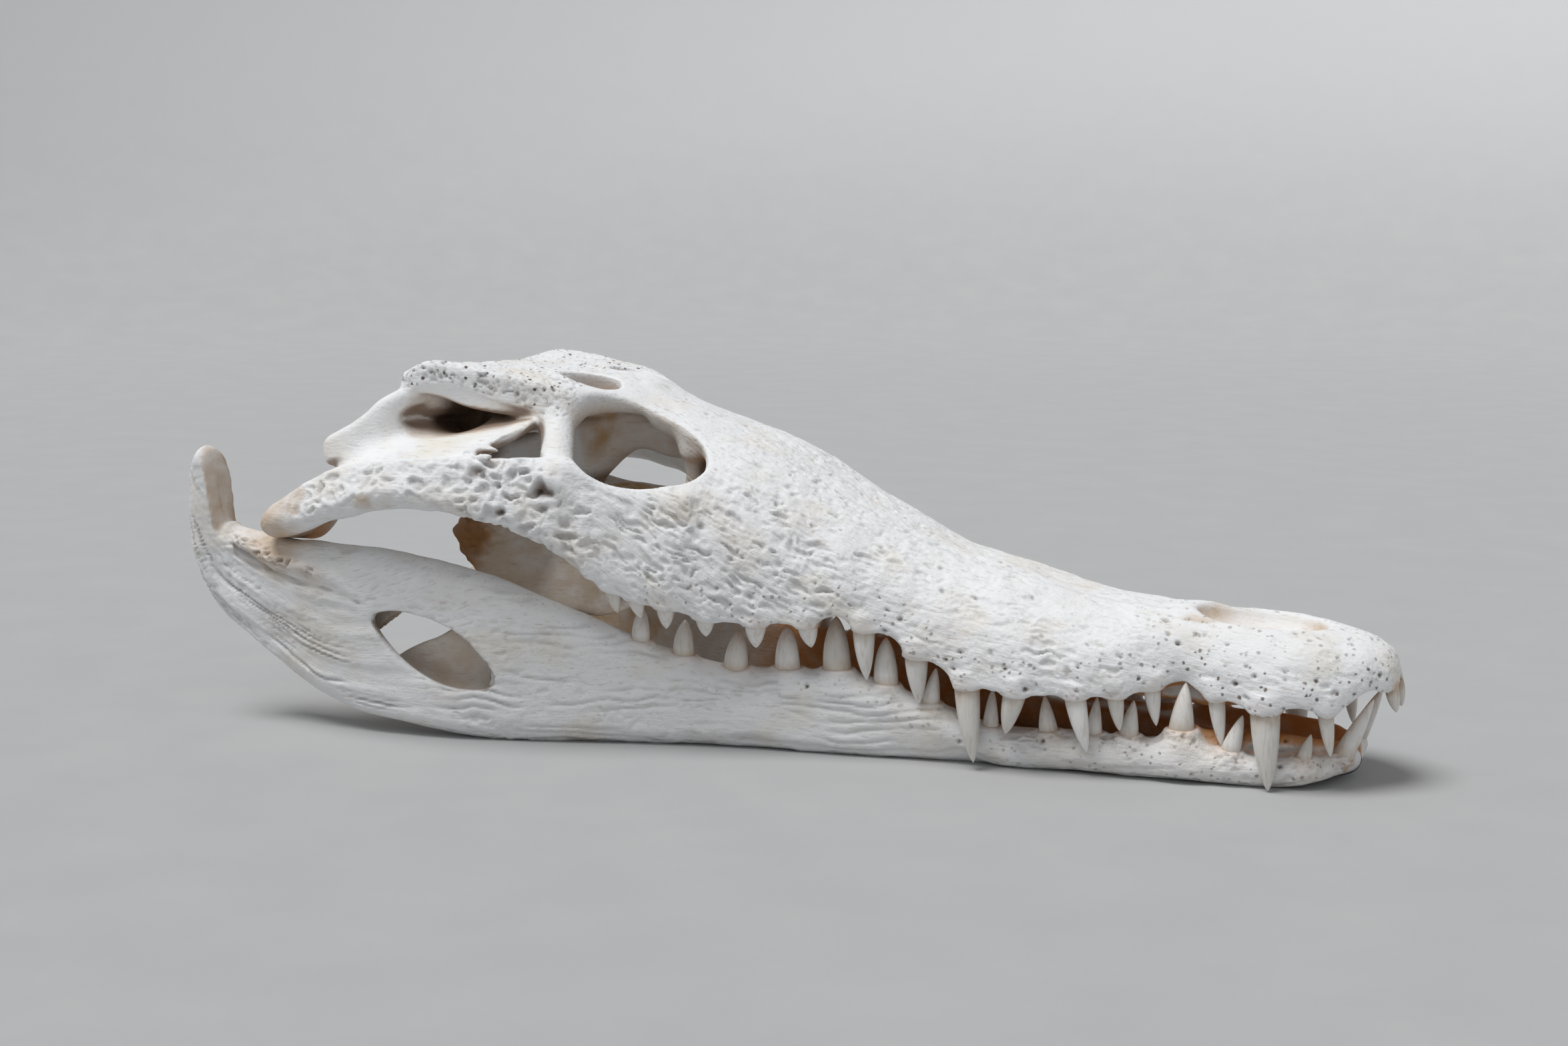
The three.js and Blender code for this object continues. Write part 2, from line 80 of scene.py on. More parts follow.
# The skull table is a flat plate over the braincase, drawn by its outline from above and its thickness.
TABLE_OUTLINE = [
    (-30, -10), (-30, 44), (-62, 42), (-78, 43), (-86, 46), (-90, 49), (-100, 53.5), (-115, 57.5),
    (-130, 60), (-146, 62), (-158, 63.5), (-168, 62.5), (-172, 58), (-168, 52), (-161, 42), (-157, 26),
    (-156, 10), (-157, -10),
]
TABLE_TOP = [
    (-30, 135, -14), (-47, 142, -14), (-58, 145.5, -14), (-68, 150.5, -16), (-79, 155, -12),
    (-90, 157, -6.5), (-100, 158, -3), (-109, 158.6, -1.2), (-121, 159.4, 0.3), (-132, 160, 1.2),
    (-145, 160.5, 2.4), (-157, 160.3, 2.6), (-166, 158.6, 1), (-176, 155, 0),
]
TABLE_FOOT = [
    (-36, 130), (-47, 135), (-58, 139), (-68, 141.5), (-79, 142), (-90, 141), (-98, 141), (-109, 143.6),
    (-121, 147), (-132, 150.4), (-145, 153.2), (-157, 152.8), (-166, 150.7), (-176, 149),
]
SHELF_FOOT = [
    (-36, 131), (-62, 141), (-79, 143), (-92, 140), (-100, 139.4), (-109, 139.8), (-118, 141),
    (-129, 142.4), (-139, 144.2), (-148, 147.4), (-155, 148.8), (-165, 148), (-176, 145),
]
TABLE_REACH = 55.0  # out to where the table's edge lift is given
SHELF_INSET = 0.8
TEMPLE_WALL = [
    (-100, 50, 138, 49, 145, 2.5, 4), (-116, 47, 137, 45, 148, 4, 5), (-132, 30, 136, 29, 150, 4, 5),
]
BRAINCASE = [
    (-28, 0, 126, 0, 130, 3.5, 4), (-46, 0, 123.5, 0, 135, 4, 6), (-64, 0, 123.5, 0, 138, 5, 8),
    (-82, 0, 128.5, 0, 139.5, 6.5, 10), (-94, 0, 122, 0, 140, 9, 13), (-104, 0, 116, 0, 140, 13, 15),
    (-122, 0, 110, 0, 140, 18, 17), (-148, 0, 116, 0, 138, 26, 22), (-164, 0, 122, 0, 138, 22, 18),
    (-174, 0, 122, 0, 134, 15, 14),
]
PAROCCIPITAL = [
    (-140, 36, 130, 36, 146, 11, 9), (-160, 52, 127, 52, 147, 8.5, 8), (-174, 65, 125, 64, 142, 7, 6.5),
    (-188, 70.5, 123, 69, 132, 6.2, 6), (-203, 74, 122, 73.5, 125.5, 4.5, 4.5),
]
QUADRATE = [
    (-103, 68, 136.5, 54, 139, 2, 2.4), (-111, 82, 131, 50, 138, 2.4, 3),
    (-119, 90, 123.5, 48, 137, 3, 3.6), (-135, 93, 118.5, 46, 136, 4.2, 5),
    (-155, 94, 114.5, 46, 133, 6, 6.5), (-175, 94, 110, 58, 127, 7, 7.5),
    (-192, 93, 102.5, 68, 113, 7.5, 8), (-206, 94, 96, 73, 94, 7.5, 9.5),
    (-215, 95.5, 94, 76, 92.5, 7.5, 8.5), (-222, 96.5, 93, 78, 92, 5.5, 5),
]
QUADRATE_SPIKES = [
    [(-104, 89, 130, 88.6, 130, 0.7, 0.7), (-110, 88, 129.8, 86, 130.4, 1.2, 1.4),
     (-122, 86, 127, 80, 130, 2, 2)],
    [(-104, 94.6, 128, 94, 128.2, 0.7, 0.7), (-110, 94, 127, 93, 127.4, 1.2, 1.2),
     (-122, 93, 123, 90, 125, 2, 2)],
]
JUGAL = [
    (-22, 66, 78, 62, 106, 7, 7), (-34, 69.5, 78, 64, 107, 7, 6.5), (-47, 72, 79, 68, 108, 7, 6),
    (-58, 75.5, 81, 73, 111, 7, 6), (-71, 81, 90, 77, 120, 7, 6.2), (-87, 88, 99.8, 81.5, 121, 6.8, 6.2),
    (-100, 93, 105.3, 88, 121, 6.6, 6.2), (-115, 97.5, 108.4, 93, 120.5, 6.4, 6),
    (-135, 101, 111, 96, 120.5, 6.2, 6), (-156, 103, 109.8, 97, 118.5, 6.2, 6),
    (-172, 103, 105.5, 97, 116, 6, 6), (-187, 101, 101.3, 95, 112.5, 6, 6),
    (-200, 99, 96.5, 95, 105, 6, 6), (-214, 97, 95, 95, 98, 4, 4),
]
MAXILLA_TAIL = [
    (12, 52, 68, 50, 82, 7, 7), (-14, 63, 66.5, 60, 78, 7, 7), (-30, 68, 71, 66, 81, 7, 6),
    (-45, 71, 74, 70, 81, 6.5, 5.5), (-58, 75.5, 79, 75, 84, 6, 5), (-70, 80.5, 87, 80, 90, 5, 4),
]
PALATINE = [
    (40, -16, 72, 16, 72, 8, 8), (0, -14, 72, 14, 72, 6, 6), (-40, -11, 79, 11, 79, 5, 5),
    (-96, -13, 91, 13, 91, 5, 5),
]
PTERYGOID_WING = [
    (-42, 66, 76, 64, 88, 4, 4), (-56, 62.5, 64, 58, 90, 3.6, 4), (-78, 59, 58, 44, 94, 3, 4),
    (-102, 57.5, 60, 34, 98, 2.6, 4.5), (-120, 57.5, 66, 28, 101, 3, 5), (-133, 57, 72, 28, 102, 3, 5),
    (-141, 56.5, 79.5, 30, 102.5, 3, 4.5), (-147, 56, 89, 34, 103, 2.4, 3.6),
]
PTERYGOID_PLATE = [
    (-80, -4, 91, 30, 91, 5, 4.5), (-104, -4, 96, 34, 96, 6, 5), (-128, -4, 101, 30, 101, 6, 5),
    (-142, -4, 104, 26, 104, 5, 4),
]
NOTCH_WALL = [
    (208, 12, 38, 19, 36, 5, 4.5), (195, 10, 37, 19, 35, 5.5, 5), (183, 8, 37, 18, 35.5, 6, 5.5),
    (172, 12, 38, 21, 36.5, 6, 5), (158, 20, 40, 28, 39, 5, 4.5),
]
POST_TOP, POST_FOOT = (-98, 46, 141), (-82, 78, 116)
POST_WAIST, POST_FLARE = 7.2, 3.2
PILLAR_TOP, PILLAR_FOOT = (-41, 22, 124), (-44, 20, 82)
PILLAR_WAIST, PILLAR_FLARE = 4.5, 3.0
OCCIPITAL_WALL = [(-155, 4, 132, 46, 135, 14, 10), (-168, 4, 130, 52, 134, 14, 9)]
EAR_BACK = [(-151, 14, 143, 45, 146, 7.5, 6.5), (-166, 14, 142, 50, 144.5, 7.5, 6.5)]
OCCIPITAL_KNOB = {"at": (-178, 0, 121), "half": (11, 12, 10)}
SPINAL_OPENING = {"at": (-180, 0, 137), "half": (22, 8.5, 7)}
NARIS_ROOM = ((170, 0, 40), (250, 40, 85))
NARIS_MIDDLE, NARIS_HALF = 209.5, (28.0, 19.5)
NARIS_FLOOR = 56.5
NARIS_RISE = 0.06  # its floor climbs backwards by this much per mm
# The eye's rim, on a plane that faces up and out: [x, place across the plane from the cheek to the roof].
ORBIT_RIM = [
    (-69, -19.3), (-61, -17.6), (-53, -15.2), (-43, -11), (-34, -5), (-28, 0), (-24.5, 7), (-26, 14),
    (-33, 24.5), (-44.5, 31.5), (-58, 36), (-68.5, 37), (-79, 35), (-85, 28), (-87.5, 15.7), (-85, 4.1),
    (-77, -9.8),
]
ORBIT_FACING = (0.43, 0.90)  # out and up parts of the direction that the rim's plane faces
ORBIT_FLOOR = 110.0
ORBIT_ROOM = ((-100, 0, 90), (-10, 113, 170))
BROW_ROOM, BROW_PASSES = ((-84, 0, 106), (-10, 70, 172)), 16  # where the joins over the eye are evened out
TABLE_ROOM = ((-190, 0, 112), (-22, 85, 173))
UPPER_WINDOW = {"at": (-93, 23.5, 155), "half": (13.5, 9.5, 15), "slant": -0.5}
EAR_RECESS = {"at": (-146, 62, 141), "half": (22, 15, 7.5), "tilt": -0.12}
EAR_PIT = {"at": (-146, 43, 138.6), "half": (15, 21, 7)}


def along(rows, x):
    """The values of rows at each x, on a smooth curve through rows that run from front to back."""
    rows = np.asarray(rows, float)[::-1]
    slopes = np.gradient(rows, rows[:, 0], axis=0)
    x = np.clip(x, rows[0, 0], rows[-1, 0])
    k = np.clip(np.searchsorted(rows[:, 0], x) - 1, 0, len(rows) - 2)
    span = (rows[k + 1, 0] - rows[k, 0])[:, None]
    t = (x - rows[k, 0])[:, None] / span
    rise = t * t * (3 - 2 * t)
    ends = rows[k] * (1 - rise) + rows[k + 1] * rise
    bow = span * t * (1 - t) * (slopes[k] * (1 - t) - slopes[k + 1] * t)
    return (ends + bow)[:, 1:]


def meet(a, b, soft):
    """Distance to where a and b overlap, with the edge between them rounded."""
    share = np.clip(0.5 + 0.5 * (a - b) / soft, 0, 1)
    return b + (a - b) * share + soft * share * (1 - share)


def ring(corners, a, b):
    """Distance, below 0 inside, to a rounded closed outline in the coordinates a and b."""
    corners = np.array(corners, float)
    for _ in range(2):
        ahead = np.roll(corners, -1, axis=0)
        pair = [0.75 * corners + 0.25 * ahead, 0.25 * corners + 0.75 * ahead]
        corners = np.stack(pair, axis=1).reshape(-1, 2)
    nearest = np.float32(1e9)
    side = np.float32(1.0)
    for (a1, b1), (a2, b2) in zip(corners, np.roll(corners, -1, axis=0)):
        step_a, step_b = np.float32(a2 - a1), np.float32(b2 - b1)
        share = ((a - a1) * step_a + (b - b1) * step_b) / (step_a**2 + step_b**2)
        share = np.clip(share, 0, 1)
        nearest = np.minimum(nearest, (a - a1 - share * step_a) ** 2 + (b - b1 - share * step_b) ** 2)
        crosses = ((b1 > b) != (b2 > b)) & (a < a1 + (b - b1) * step_a / (step_b if step_b else 1e-6))
        side = np.where(crosses, -side, side)
    return np.sqrt(nearest) * side


class Clay:
    """A block of distances to the bone's surface, in mm: bones are melted on and hollows carved out."""

    def __init__(self, low, high):
        self.low = np.array(low)
        self.axes = [np.arange(a, b, VOXEL) for a, b in zip(low, high)]
        self.field = np.full([len(axis) for axis in self.axes], FAR, np.float32)

    def room(self, low, high):
        """The part of the block between two corners, as slices, and its coordinates x, out and z."""
        cut = tuple(slice(*np.searchsorted(axis, (a, b))) for axis, a, b in zip(self.axes, low, high))
        x, out, z = np.ix_(*[axis[part].astype(np.float32) for axis, part in zip(self.axes, cut)])
        return cut, x, out, z

    def melt(self, cut, distance, blend):
        """Adds the bone inside a distance of 0, with joins rounded over about blend mm."""
        old = self.field[cut]
        share = np.clip(0.5 + 0.5 * (distance - old) / blend, 0, 1)
        self.field[cut] = distance + (old - distance) * share - blend * share * (1 - share)

    def carve(self, cut, distance, blend):
        """Takes out the bone inside a distance of 0, with edges rounded over about blend mm."""
        old = self.field[cut]
        share = np.clip(0.5 + 0.5 * (distance + old) / blend, 0, 1)
        self.field[cut] = -distance + (old + distance) * share + blend * share * (1 - share)

    def bone(self, sections, blend=6.0, add=True):
        """Melts on, or carves out, a bar through its sections, with round ends."""
        rows = np.asarray(sections, float)
        reach = rows[:, 5:].max() + FAR
        low = (rows[-1, 0] - FAR, rows[:, (1, 3)].min() - reach, rows[:, (2, 4)].min() - reach)
        high = (rows[0, 0] + FAR, rows[:, (1, 3)].max() + reach, rows[:, (2, 4)].max() + reach)
        cut, x, out, z = self.room(low, high)
        at = along(rows, x.ravel()).astype(np.float32)
        out_a, z_a, out_b, z_b, r_a, r_b = [column[:, None, None] for column in at.T]
        across, up = out_b - out_a, z_b - z_a
        share = ((out - out_a) * across + (z - z_a) * up) / (across**2 + up**2)
        share = np.clip(share, 0, 1)
        core = (out - out_a - share * across) ** 2 + (z - z_a - share * up) ** 2
        radius = r_a + share * (r_b - r_a)
        inside = np.minimum(rows[0, 0] - x, x - rows[-1, 0]).astype(np.float32)
        past_end = np.maximum(radius - inside, 0)
        distance = np.sqrt(core + past_end**2) - radius
        change = self.melt if add else self.carve
        change(cut, distance, blend)

    def oval(self, shape, blend=3.0, add=False):
        """Carves out, or melts on, an egg shape, tilted fore and aft and slanted sideways in radians."""
        at, half = np.array(shape["at"], float), np.array(shape["half"], float)
        reach = half.max() + FAR
        cut, x, out, z = self.room(at - reach, at + reach)
        x, out, z = x - at[0], out - at[1], z - at[2]
        tilt, slant = shape.get("tilt", 0.0), shape.get("slant", 0.0)
        x, z = x * math.cos(tilt) - z * math.sin(tilt), z * math.cos(tilt) + x * math.sin(tilt)
        out, z = out * math.cos(slant) + z * math.sin(slant), z * math.cos(slant) - out * math.sin(slant)
        near = np.sqrt((x / half[0]) ** 2 + (out / half[1]) ** 2 + (z / half[2]) ** 2)
        steep = np.sqrt((x / half[0] ** 2) ** 2 + (out / half[1] ** 2) ** 2 + (z / half[2] ** 2) ** 2)
        distance = near * (near - 1) / np.maximum(steep, 1e-4)
        change = self.melt if add else self.carve
        change(cut, distance, blend)

    def soften(self, low, high, passes):
        """Evens out the joins between bones in a part of the block."""
        cut, x, out, z = self.room(low, high)
        part = old = self.field[cut]
        for _ in range(passes):
            for axis in range(3):
                padded = np.concatenate([part.take([0], axis), part, part.take([-1], axis)], axis)
                count = part.shape[axis]
                before = padded.take(range(count), axis)
                after = padded.take(range(2, count + 2), axis)
                part = 0.25 * before + 0.5 * part + 0.25 * after
        inside = np.minimum(np.minimum(x - low[0], high[0] - x), np.minimum(z - low[2], high[2] - z))
        share = np.clip(np.minimum(inside, high[1] - out) / FADE, 0, 1)
        self.field[cut] = old + (part - old) * share

    def skin(self, mirrored):
        """Points in mm and four-sided faces of the surface, on both sides of the middle if mirrored."""
        field, low = self.field, self.low.copy()
        if mirrored:
            low[1] = -(field.shape[1] - 1) * VOXEL
            field = np.concatenate([field[:, :0:-1], field], axis=1)
        grid = openvdb.FloatGrid(SKIN)
        grid.copyFromArray(np.clip(field, -SKIN, SKIN).astype(np.float32))
        points, faces = grid.convertToQuads(0.0)
        return low + points.astype(float) * VOXEL, faces


def arch(clay, shrink=0.0, drop=0.0):
    """Distance to the snout's arched back over its palate, made smaller by shrink and open below by drop."""
    cut, x, out, z = clay.room(*SNOUT_ROOM)
    half, rim, top, power, middle = [
        along(rows, x.ravel())[:, 0][:, None, None]
        for rows in (RIM_HALF_WIDTH, RIM_HEIGHT, BACK_HEIGHT, BOXINESS, PALATE_HEIGHT)
    ]
    half = np.maximum(half - shrink, 1.0)
    rise = np.maximum(top - shrink - rim, 1.0)
    up = np.maximum(z - rim, 0)
    ratio = ((out / half) ** power + (up / rise) ** power) ** (1 / power)
    radial = np.sqrt(out**2 + up**2)
    back = radial * (ratio - 1) / np.maximum(ratio, 0.05)
    palate = rim - drop + (middle - rim) * (1 - np.minimum(out / half, 1) ** 2) - z
    return cut, x, meet(palate, back, RIM_ROUNDING).astype(np.float32)


upper = Clay(*UPPER_BLOCK)
cut, x, snout = arch(upper)
_, _, throat = arch(upper, SHELL, THROAT_DROP)
behind_eye = np.maximum(throat, x - EYE_FRONT)
snout = np.maximum(np.maximum(snout, -behind_eye), np.maximum(SNOUT_END - x, x - SNOUT_TIP))
upper.melt(cut, snout, 1.0)
for plate in (MAXILLA_TAIL, JUGAL, PAROCCIPITAL, QUADRATE):
    upper.bone(plate)
for plate in (PALATINE, PTERYGOID_WING, PTERYGOID_PLATE, TEMPLE_WALL, NOTCH_WALL):
    upper.bone(plate, 4.0)
for plate in QUADRATE_SPIKES:
    upper.bone(plate, 1.5)
upper.bone(BRAINCASE, 9.0)
upper.bone(OCCIPITAL_WALL, 6.0)
upper.oval(OCCIPITAL_KNOB, 4.0, add=True)
upper.oval(EAR_RECESS, 5.0)

cut, x, out, z = upper.room(*TABLE_ROOM)
plan = ring(TABLE_OUTLINE, x, out)
top, lift = [column[:, None, None] for column in along(TABLE_TOP, x.ravel()).astype(np.float32).T]
foot = along(TABLE_FOOT, x.ravel()).astype(np.float32)[:, :, None]
crown = top + lift * (out / TABLE_REACH) ** 2
upper.melt(cut, meet(meet(plan, z - crown, 4.0), foot - z, 2.0), 3.0)
shelf = along(SHELF_FOOT, x.ravel()).astype(np.float32)[:, :, None]
upper.melt(cut, meet(meet(plan + SHELF_INSET, z - crown, 4.0), shelf - z, 3.0), 2.0)

upper.soften(*BROW_ROOM, BROW_PASSES)
cut, x, out, z = upper.room(*ORBIT_ROOM)
across = ORBIT_FACING[0] * z - ORBIT_FACING[1] * out
depth = ORBIT_FACING[0] * out + ORBIT_FACING[1] * z
upper.carve(cut, meet(ring(ORBIT_RIM, x, across), ORBIT_FLOOR - depth, 6.0).astype(np.float32), 3.5)
upper.oval(EAR_PIT)
upper.bone(EAR_BACK, 3.0)
for hollow in (UPPER_WINDOW, SPINAL_OPENING):
    upper.oval(hollow)
cut, x, out, z = upper.room(*NARIS_ROOM)
bowl = ((x - NARIS_MIDDLE) / NARIS_HALF[0]) ** 2 + (out / NARIS_HALF[1]) ** 2 - 1
bowl = bowl * NARIS_HALF[1] / 2
floor = NARIS_FLOOR + NARIS_RISE * (NARIS_MIDDLE - x)
upper.carve(cut, meet(bowl, floor - z, 12.0).astype(np.float32), 3.0)


def strut(clay, start, end, waist, flare, blend):
    """Melts a round bar onto the clay, waist wide in the middle and wider by flare at its ends."""
    reach = waist + flare + FAR
    cut, x, out, z = clay.room(np.minimum(start, end) - reach, np.maximum(start, end) + reach)
    run = [b - a for a, b in zip(start, end)]
    share = (x - start[0]) * run[0] + (out - start[1]) * run[1] + (z - start[2]) * run[2]
    share = np.clip(share / sum(step * step for step in run), 0, 1)
    gaps = [axis - low - share * step for axis, low, step in zip((x, out, z), start, run)]
    wide = waist + flare * (2 * share - 1) ** 4
    clay.melt(cut, (np.sqrt(sum(gap * gap for gap in gaps)) - wide).astype(np.float32), blend)


# The post behind the eye runs from the skull table to the cheek bar, the pillar in front down to the palate.
strut(upper, POST_TOP, POST_FOOT, POST_WAIST, POST_FLARE, 5.0)
strut(upper, PILLAR_TOP, PILLAR_FOOT, PILLAR_WAIST, PILLAR_FLARE, 8.0)

# Tooth sockets: each tooth stands in a collar that swells the rim of the jaw around it.
# Teeth from the front backwards, in mm and degrees: [x, inset from the edge, length, radius, lean forward,
# splay], and for lower teeth how high the socket stands on the jaw.
UPPER_TEETH = [
    (264, 5, 9, 2.8, 12, 4), (241, 5, 18.5, 3.2, 9, 8), (217.5, 6, 33.8, 6.1, 5, 12),
    (196.5, 5, 21, 3.5, 8, 6), (170.5, 5, 17.5, 3.5, 8, 6), (157, 5, 16, 3.5, 8, 6),
    (141, 5, 24.5, 4.5, 14, 8), (117, 5, 19.5, 4.8, -13, 8), (95.5, 5.4, 33, 5.4, 7, 9),
    (72.5, 5, 22, 5, 3, 5), (49.5, 5, 23, 4.8, 3, 5), (26, 5, 11, 4.5, 6, 4), (4.5, 5, 12, 4.8, -4, 4),
    (-16.5, 5, 10, 4.4, -4, 4), (-33, 5, 11.5, 4.2, -4, 4), (-46, 5, 10, 3.8, 10, 4),
    (-56, 5, 12.5, 3.6, 10, 4),
]
COLLAR = 1.1  # wall of the socket round a tooth
LIP = 1.0  # how far a socket's edge stands out past the rim
TIP_TEETH = 250.0  # before this the sockets lie inside the rim


def socket(clay, middle, radius, low, high, blend):
    """Melts a short upright stub onto the clay from low to high round middle (x, out)."""
    reach = radius + FAR
    cut, x, out, z = clay.room((middle[0] - reach, middle[1] - reach, low - FAR),
                               (middle[0] + reach, middle[1] + reach, high + FAR))
    round_wall = np.sqrt((x - middle[0]) ** 2 + (out - middle[1]) ** 2) - radius
    ends = np.abs(z - (low + high) / 2) - (high - low) / 2
    clay.melt(cut, meet(round_wall, ends, 1.6).astype(np.float32), blend)


def upper_edge(x):
    """Where the upper teeth stand: the snout's rim, as out and z."""
    half = along(RIM_HALF_WIDTH, np.array([x]))[0, 0]
    rim = along(RIM_HEIGHT, np.array([x]))[0, 0]
    return half, rim


upper_roots = []
for x, inset, length, radius, lean, splay in UPPER_TEETH:
    half, rim = upper_edge(x)
    upper_roots.append((x, half - inset, rim + 1, length, radius, lean, splay))
    if x < TIP_TEETH:
        socket(upper, (x, half - inset - 0.5), radius + COLLAR, rim - LIP, rim + 6, 3.5)

# Fine relief: how living bone grows where skin lies on it, with pits, worm-like grooves and nerve holes.
# Every relief is a set of scattered points or a soft noise, with a fixed seed, in millimetres.


def hashed(cells, seed):
    """A fixed number from 0 to 1 for each whole-number cell."""
    mixed = cells[:, 0] * 374761393 + cells[:, 1] * 668265263 + cells[:, 2] * 1274126177 + seed * 362437
    mixed = mixed & 0xFFFFFFFF
    mixed = ((mixed ^ (mixed >> 13)) * 1274126177) & 0xFFFFFFFF
    mixed = ((mixed ^ (mixed >> 15)) * 2246822519) & 0xFFFFFFFF
    return ((mixed ^ (mixed >> 16)) & 0xFFFF) / 65535.0


def drift(points, sizes, seed):
    """Soft noise from -1 to 1 whose lumps have the given sizes along x, y and z."""
    place = points / np.asarray(sizes, float)
    home = np.floor(place).astype(np.int64)
    t = place - home
    t = t * t * t * (t * (t * 6 - 15) + 10)
    total = np.zeros(len(points))
    for corner in np.ndindex(2, 2, 2):
        weight = np.prod(np.where(np.array(corner) == 1, t, 1 - t), axis=1)
        total += weight * hashed(home + np.array(corner), seed)
    return total * 2 - 1


def scattered(points, spacing, seed):
    """Distances in spacings to the two nearest of scattered points, and a fixed number for the nearest."""
    home = np.floor(points / spacing).astype(np.int64)
    nearest = np.full(len(points), 9.0)
    second = np.full(len(points), 9.0)
    number = np.zeros(len(points))
    for step in np.ndindex(3, 3, 3):
        cell = home + np.array(step) - 1
        spot = cell + np.stack([hashed(cell, seed + k) for k in range(3)], axis=1)
        apart = np.linalg.norm(points / spacing - spot, axis=1)
        closer = apart < nearest
        second = np.where(closer, nearest, np.minimum(second, apart))
        nearest = np.where(closer, apart, nearest)
        number[closer] = hashed(cell[closer], seed + 3)
    return nearest, second, number


def ease(value, start, end):
    """0 before start, 1 after end, smooth between."""
    t = np.clip((value - start) / (end - start), 0, 1)
    return t * t * (3 - 2 * t)


def band(value, low, high, soft):
    """1 between low and high, 0 outside, with edges twice soft wide."""
    return ease(value, low - soft, low + soft) * (1 - ease(value, high - soft, high + soft))


def pits(points, mask, spacing, radius, share, seed):
    """How deep each point lies in a scattered pit, 0 to 1, where mask is set."""
    depth = np.zeros(len(points))
    live = mask > 0.02
    if live.any():
        nearest, _, number = scattered(points[live], spacing, seed)
        own = radius / spacing * (0.6 + 0.8 * number / share)
        depth[live] = np.where(number < share, 1 - ease(nearest, 0.25 * own, own), 0) * mask[live]
    return depth


def cells(points, mask, spacing, seed):
    """How deep each point lies in close-set pits with thin walls between them, 0 to 1, where mask is set."""
    depth = np.zeros(len(points))
    live = mask > 0.02
    if live.any():
        nearest, second, number = scattered(points[live], spacing, seed)
        bowl = ease(second - nearest, 0.1, 0.5)
        depth[live] = bowl * (0.25 + 0.75 * number) * mask[live]
    return depth


def warp_of(points):
    """The points shifted by soft noise, so that a pattern drawn on them loses its evenness."""
    wide = np.stack([drift(points, (6, 6, 6), 70 + k) for k in range(3)], axis=1)
    fine = np.stack([drift(points, (2.6, 2.6, 2.6), 80 + k) for k in range(3)], axis=1)
    return points + 2.2 * wide + 0.7 * fine


def furrows(points, mask, spacing, seed):
    """How deep each point lies in long wavy grooves, spaced in mm up the bone, 0 to 1, where mask is set."""
    depth = np.zeros(len(points))
    live = mask > 0.02
    if live.any():
        spot = points[live]
        sway = 1.1 * drift(spot, (42, 30, 15), seed) + 0.4 * drift(spot, (13, 13, 7), seed + 1)
        wave = 0.5 + 0.5 * np.cos(2 * math.pi * (spot[:, 2] / spacing + sway))
        broken = ease(drift(spot, (24, 14, 1.4 * spacing), seed + 2), -0.25, 0.35)
        depth[live] = wave**3 * broken * mask[live]
    return depth


PROBES = [(4.0, 0.2), (9.0, 0.35), (16.0, 0.45)]  # how far a point looks out of its hollow, and the weights
CLOSED_IN = 1.6  # how soon a hollow counts as deep


def shelter(clay, points, normals, side=None):
    """How closed in each point is, 0 in the open to 1 deep in a hollow, from the distance field itself."""
    total = np.zeros(len(points))
    for reach, weight in PROBES:
        probe = points + normals * reach
        probe[:, 1] = np.abs(probe[:, 1]) if side is None else side * probe[:, 1]
        index = np.rint((probe - clay.low) / VOXEL).astype(int)
        held = np.clip(index, 0, np.array(clay.field.shape) - 1)
        apart = np.where((held == index).all(axis=1), clay.field[tuple(held.T)], FAR)
        total += weight * np.clip(1 - apart / reach, 0, 1)
    return np.clip(total * CLOSED_IN, 0, 1)


def mesh_of(name, points, faces):
    """A plain mesh in metres whose faces point outwards."""
    mesh = bpy.data.meshes.new(name)
    mesh.from_pydata(points / 1000.0, [], faces)
    a, b, c = [points[faces[:, k]] for k in range(3)]
    if np.einsum("ij,ij->", a, np.cross(b, c)) < 0:
        mesh.flip_normals()
    mesh.update()
    return mesh


def normals_of(mesh):
    """The directions in which the mesh's points face."""
    flat = np.empty(len(mesh.vertices) * 3, np.float32)
    mesh.vertices.foreach_get("normal", flat)
    return flat.reshape(-1, 3).astype(float)


def summed(*parts):
    """The sum of patterns, each given as (its depth in mm or its strength, the pattern)."""
    return sum(weight * pattern for weight, pattern in parts)


def finish_relief(mesh, points, marks, flow):
    """Moves the mesh's points and stores the marks and the grain's lie that the bone's colours follow."""
    points[:, 2] = np.maximum(points[:, 2], 0.0)
    mesh.vertices.foreach_set("co", (points / 1000.0).astype(np.float32).ravel())
    for key, values in marks.items():
        strength = np.clip(values, 0, 1).astype(np.float32)
        mesh.attributes.new(key, "FLOAT", "POINT").data.foreach_set("value", strength)
    grain = mesh.attributes.new("flow", "FLOAT_VECTOR", "POINT")
    grain.data.foreach_set("vector", (flow / 1000.0).astype(np.float32).ravel())
    mesh.polygons.foreach_set("use_smooth", np.ones(len(mesh.polygons), bool))
    mesh.update()


def near_roots(points, roots, reach):
    """1 at a tooth's root and 0 further than reach from every tooth."""
    closest = np.full(len(points), 99.0)
    for x, out, z, _, radius, _, _ in roots:
        for side in (-1, 1):
            apart = np.linalg.norm(points - (x, side * out, z), axis=1) - radius
            closest = np.minimum(closest, apart)
    return 1 - ease(closest, 0.5, reach)


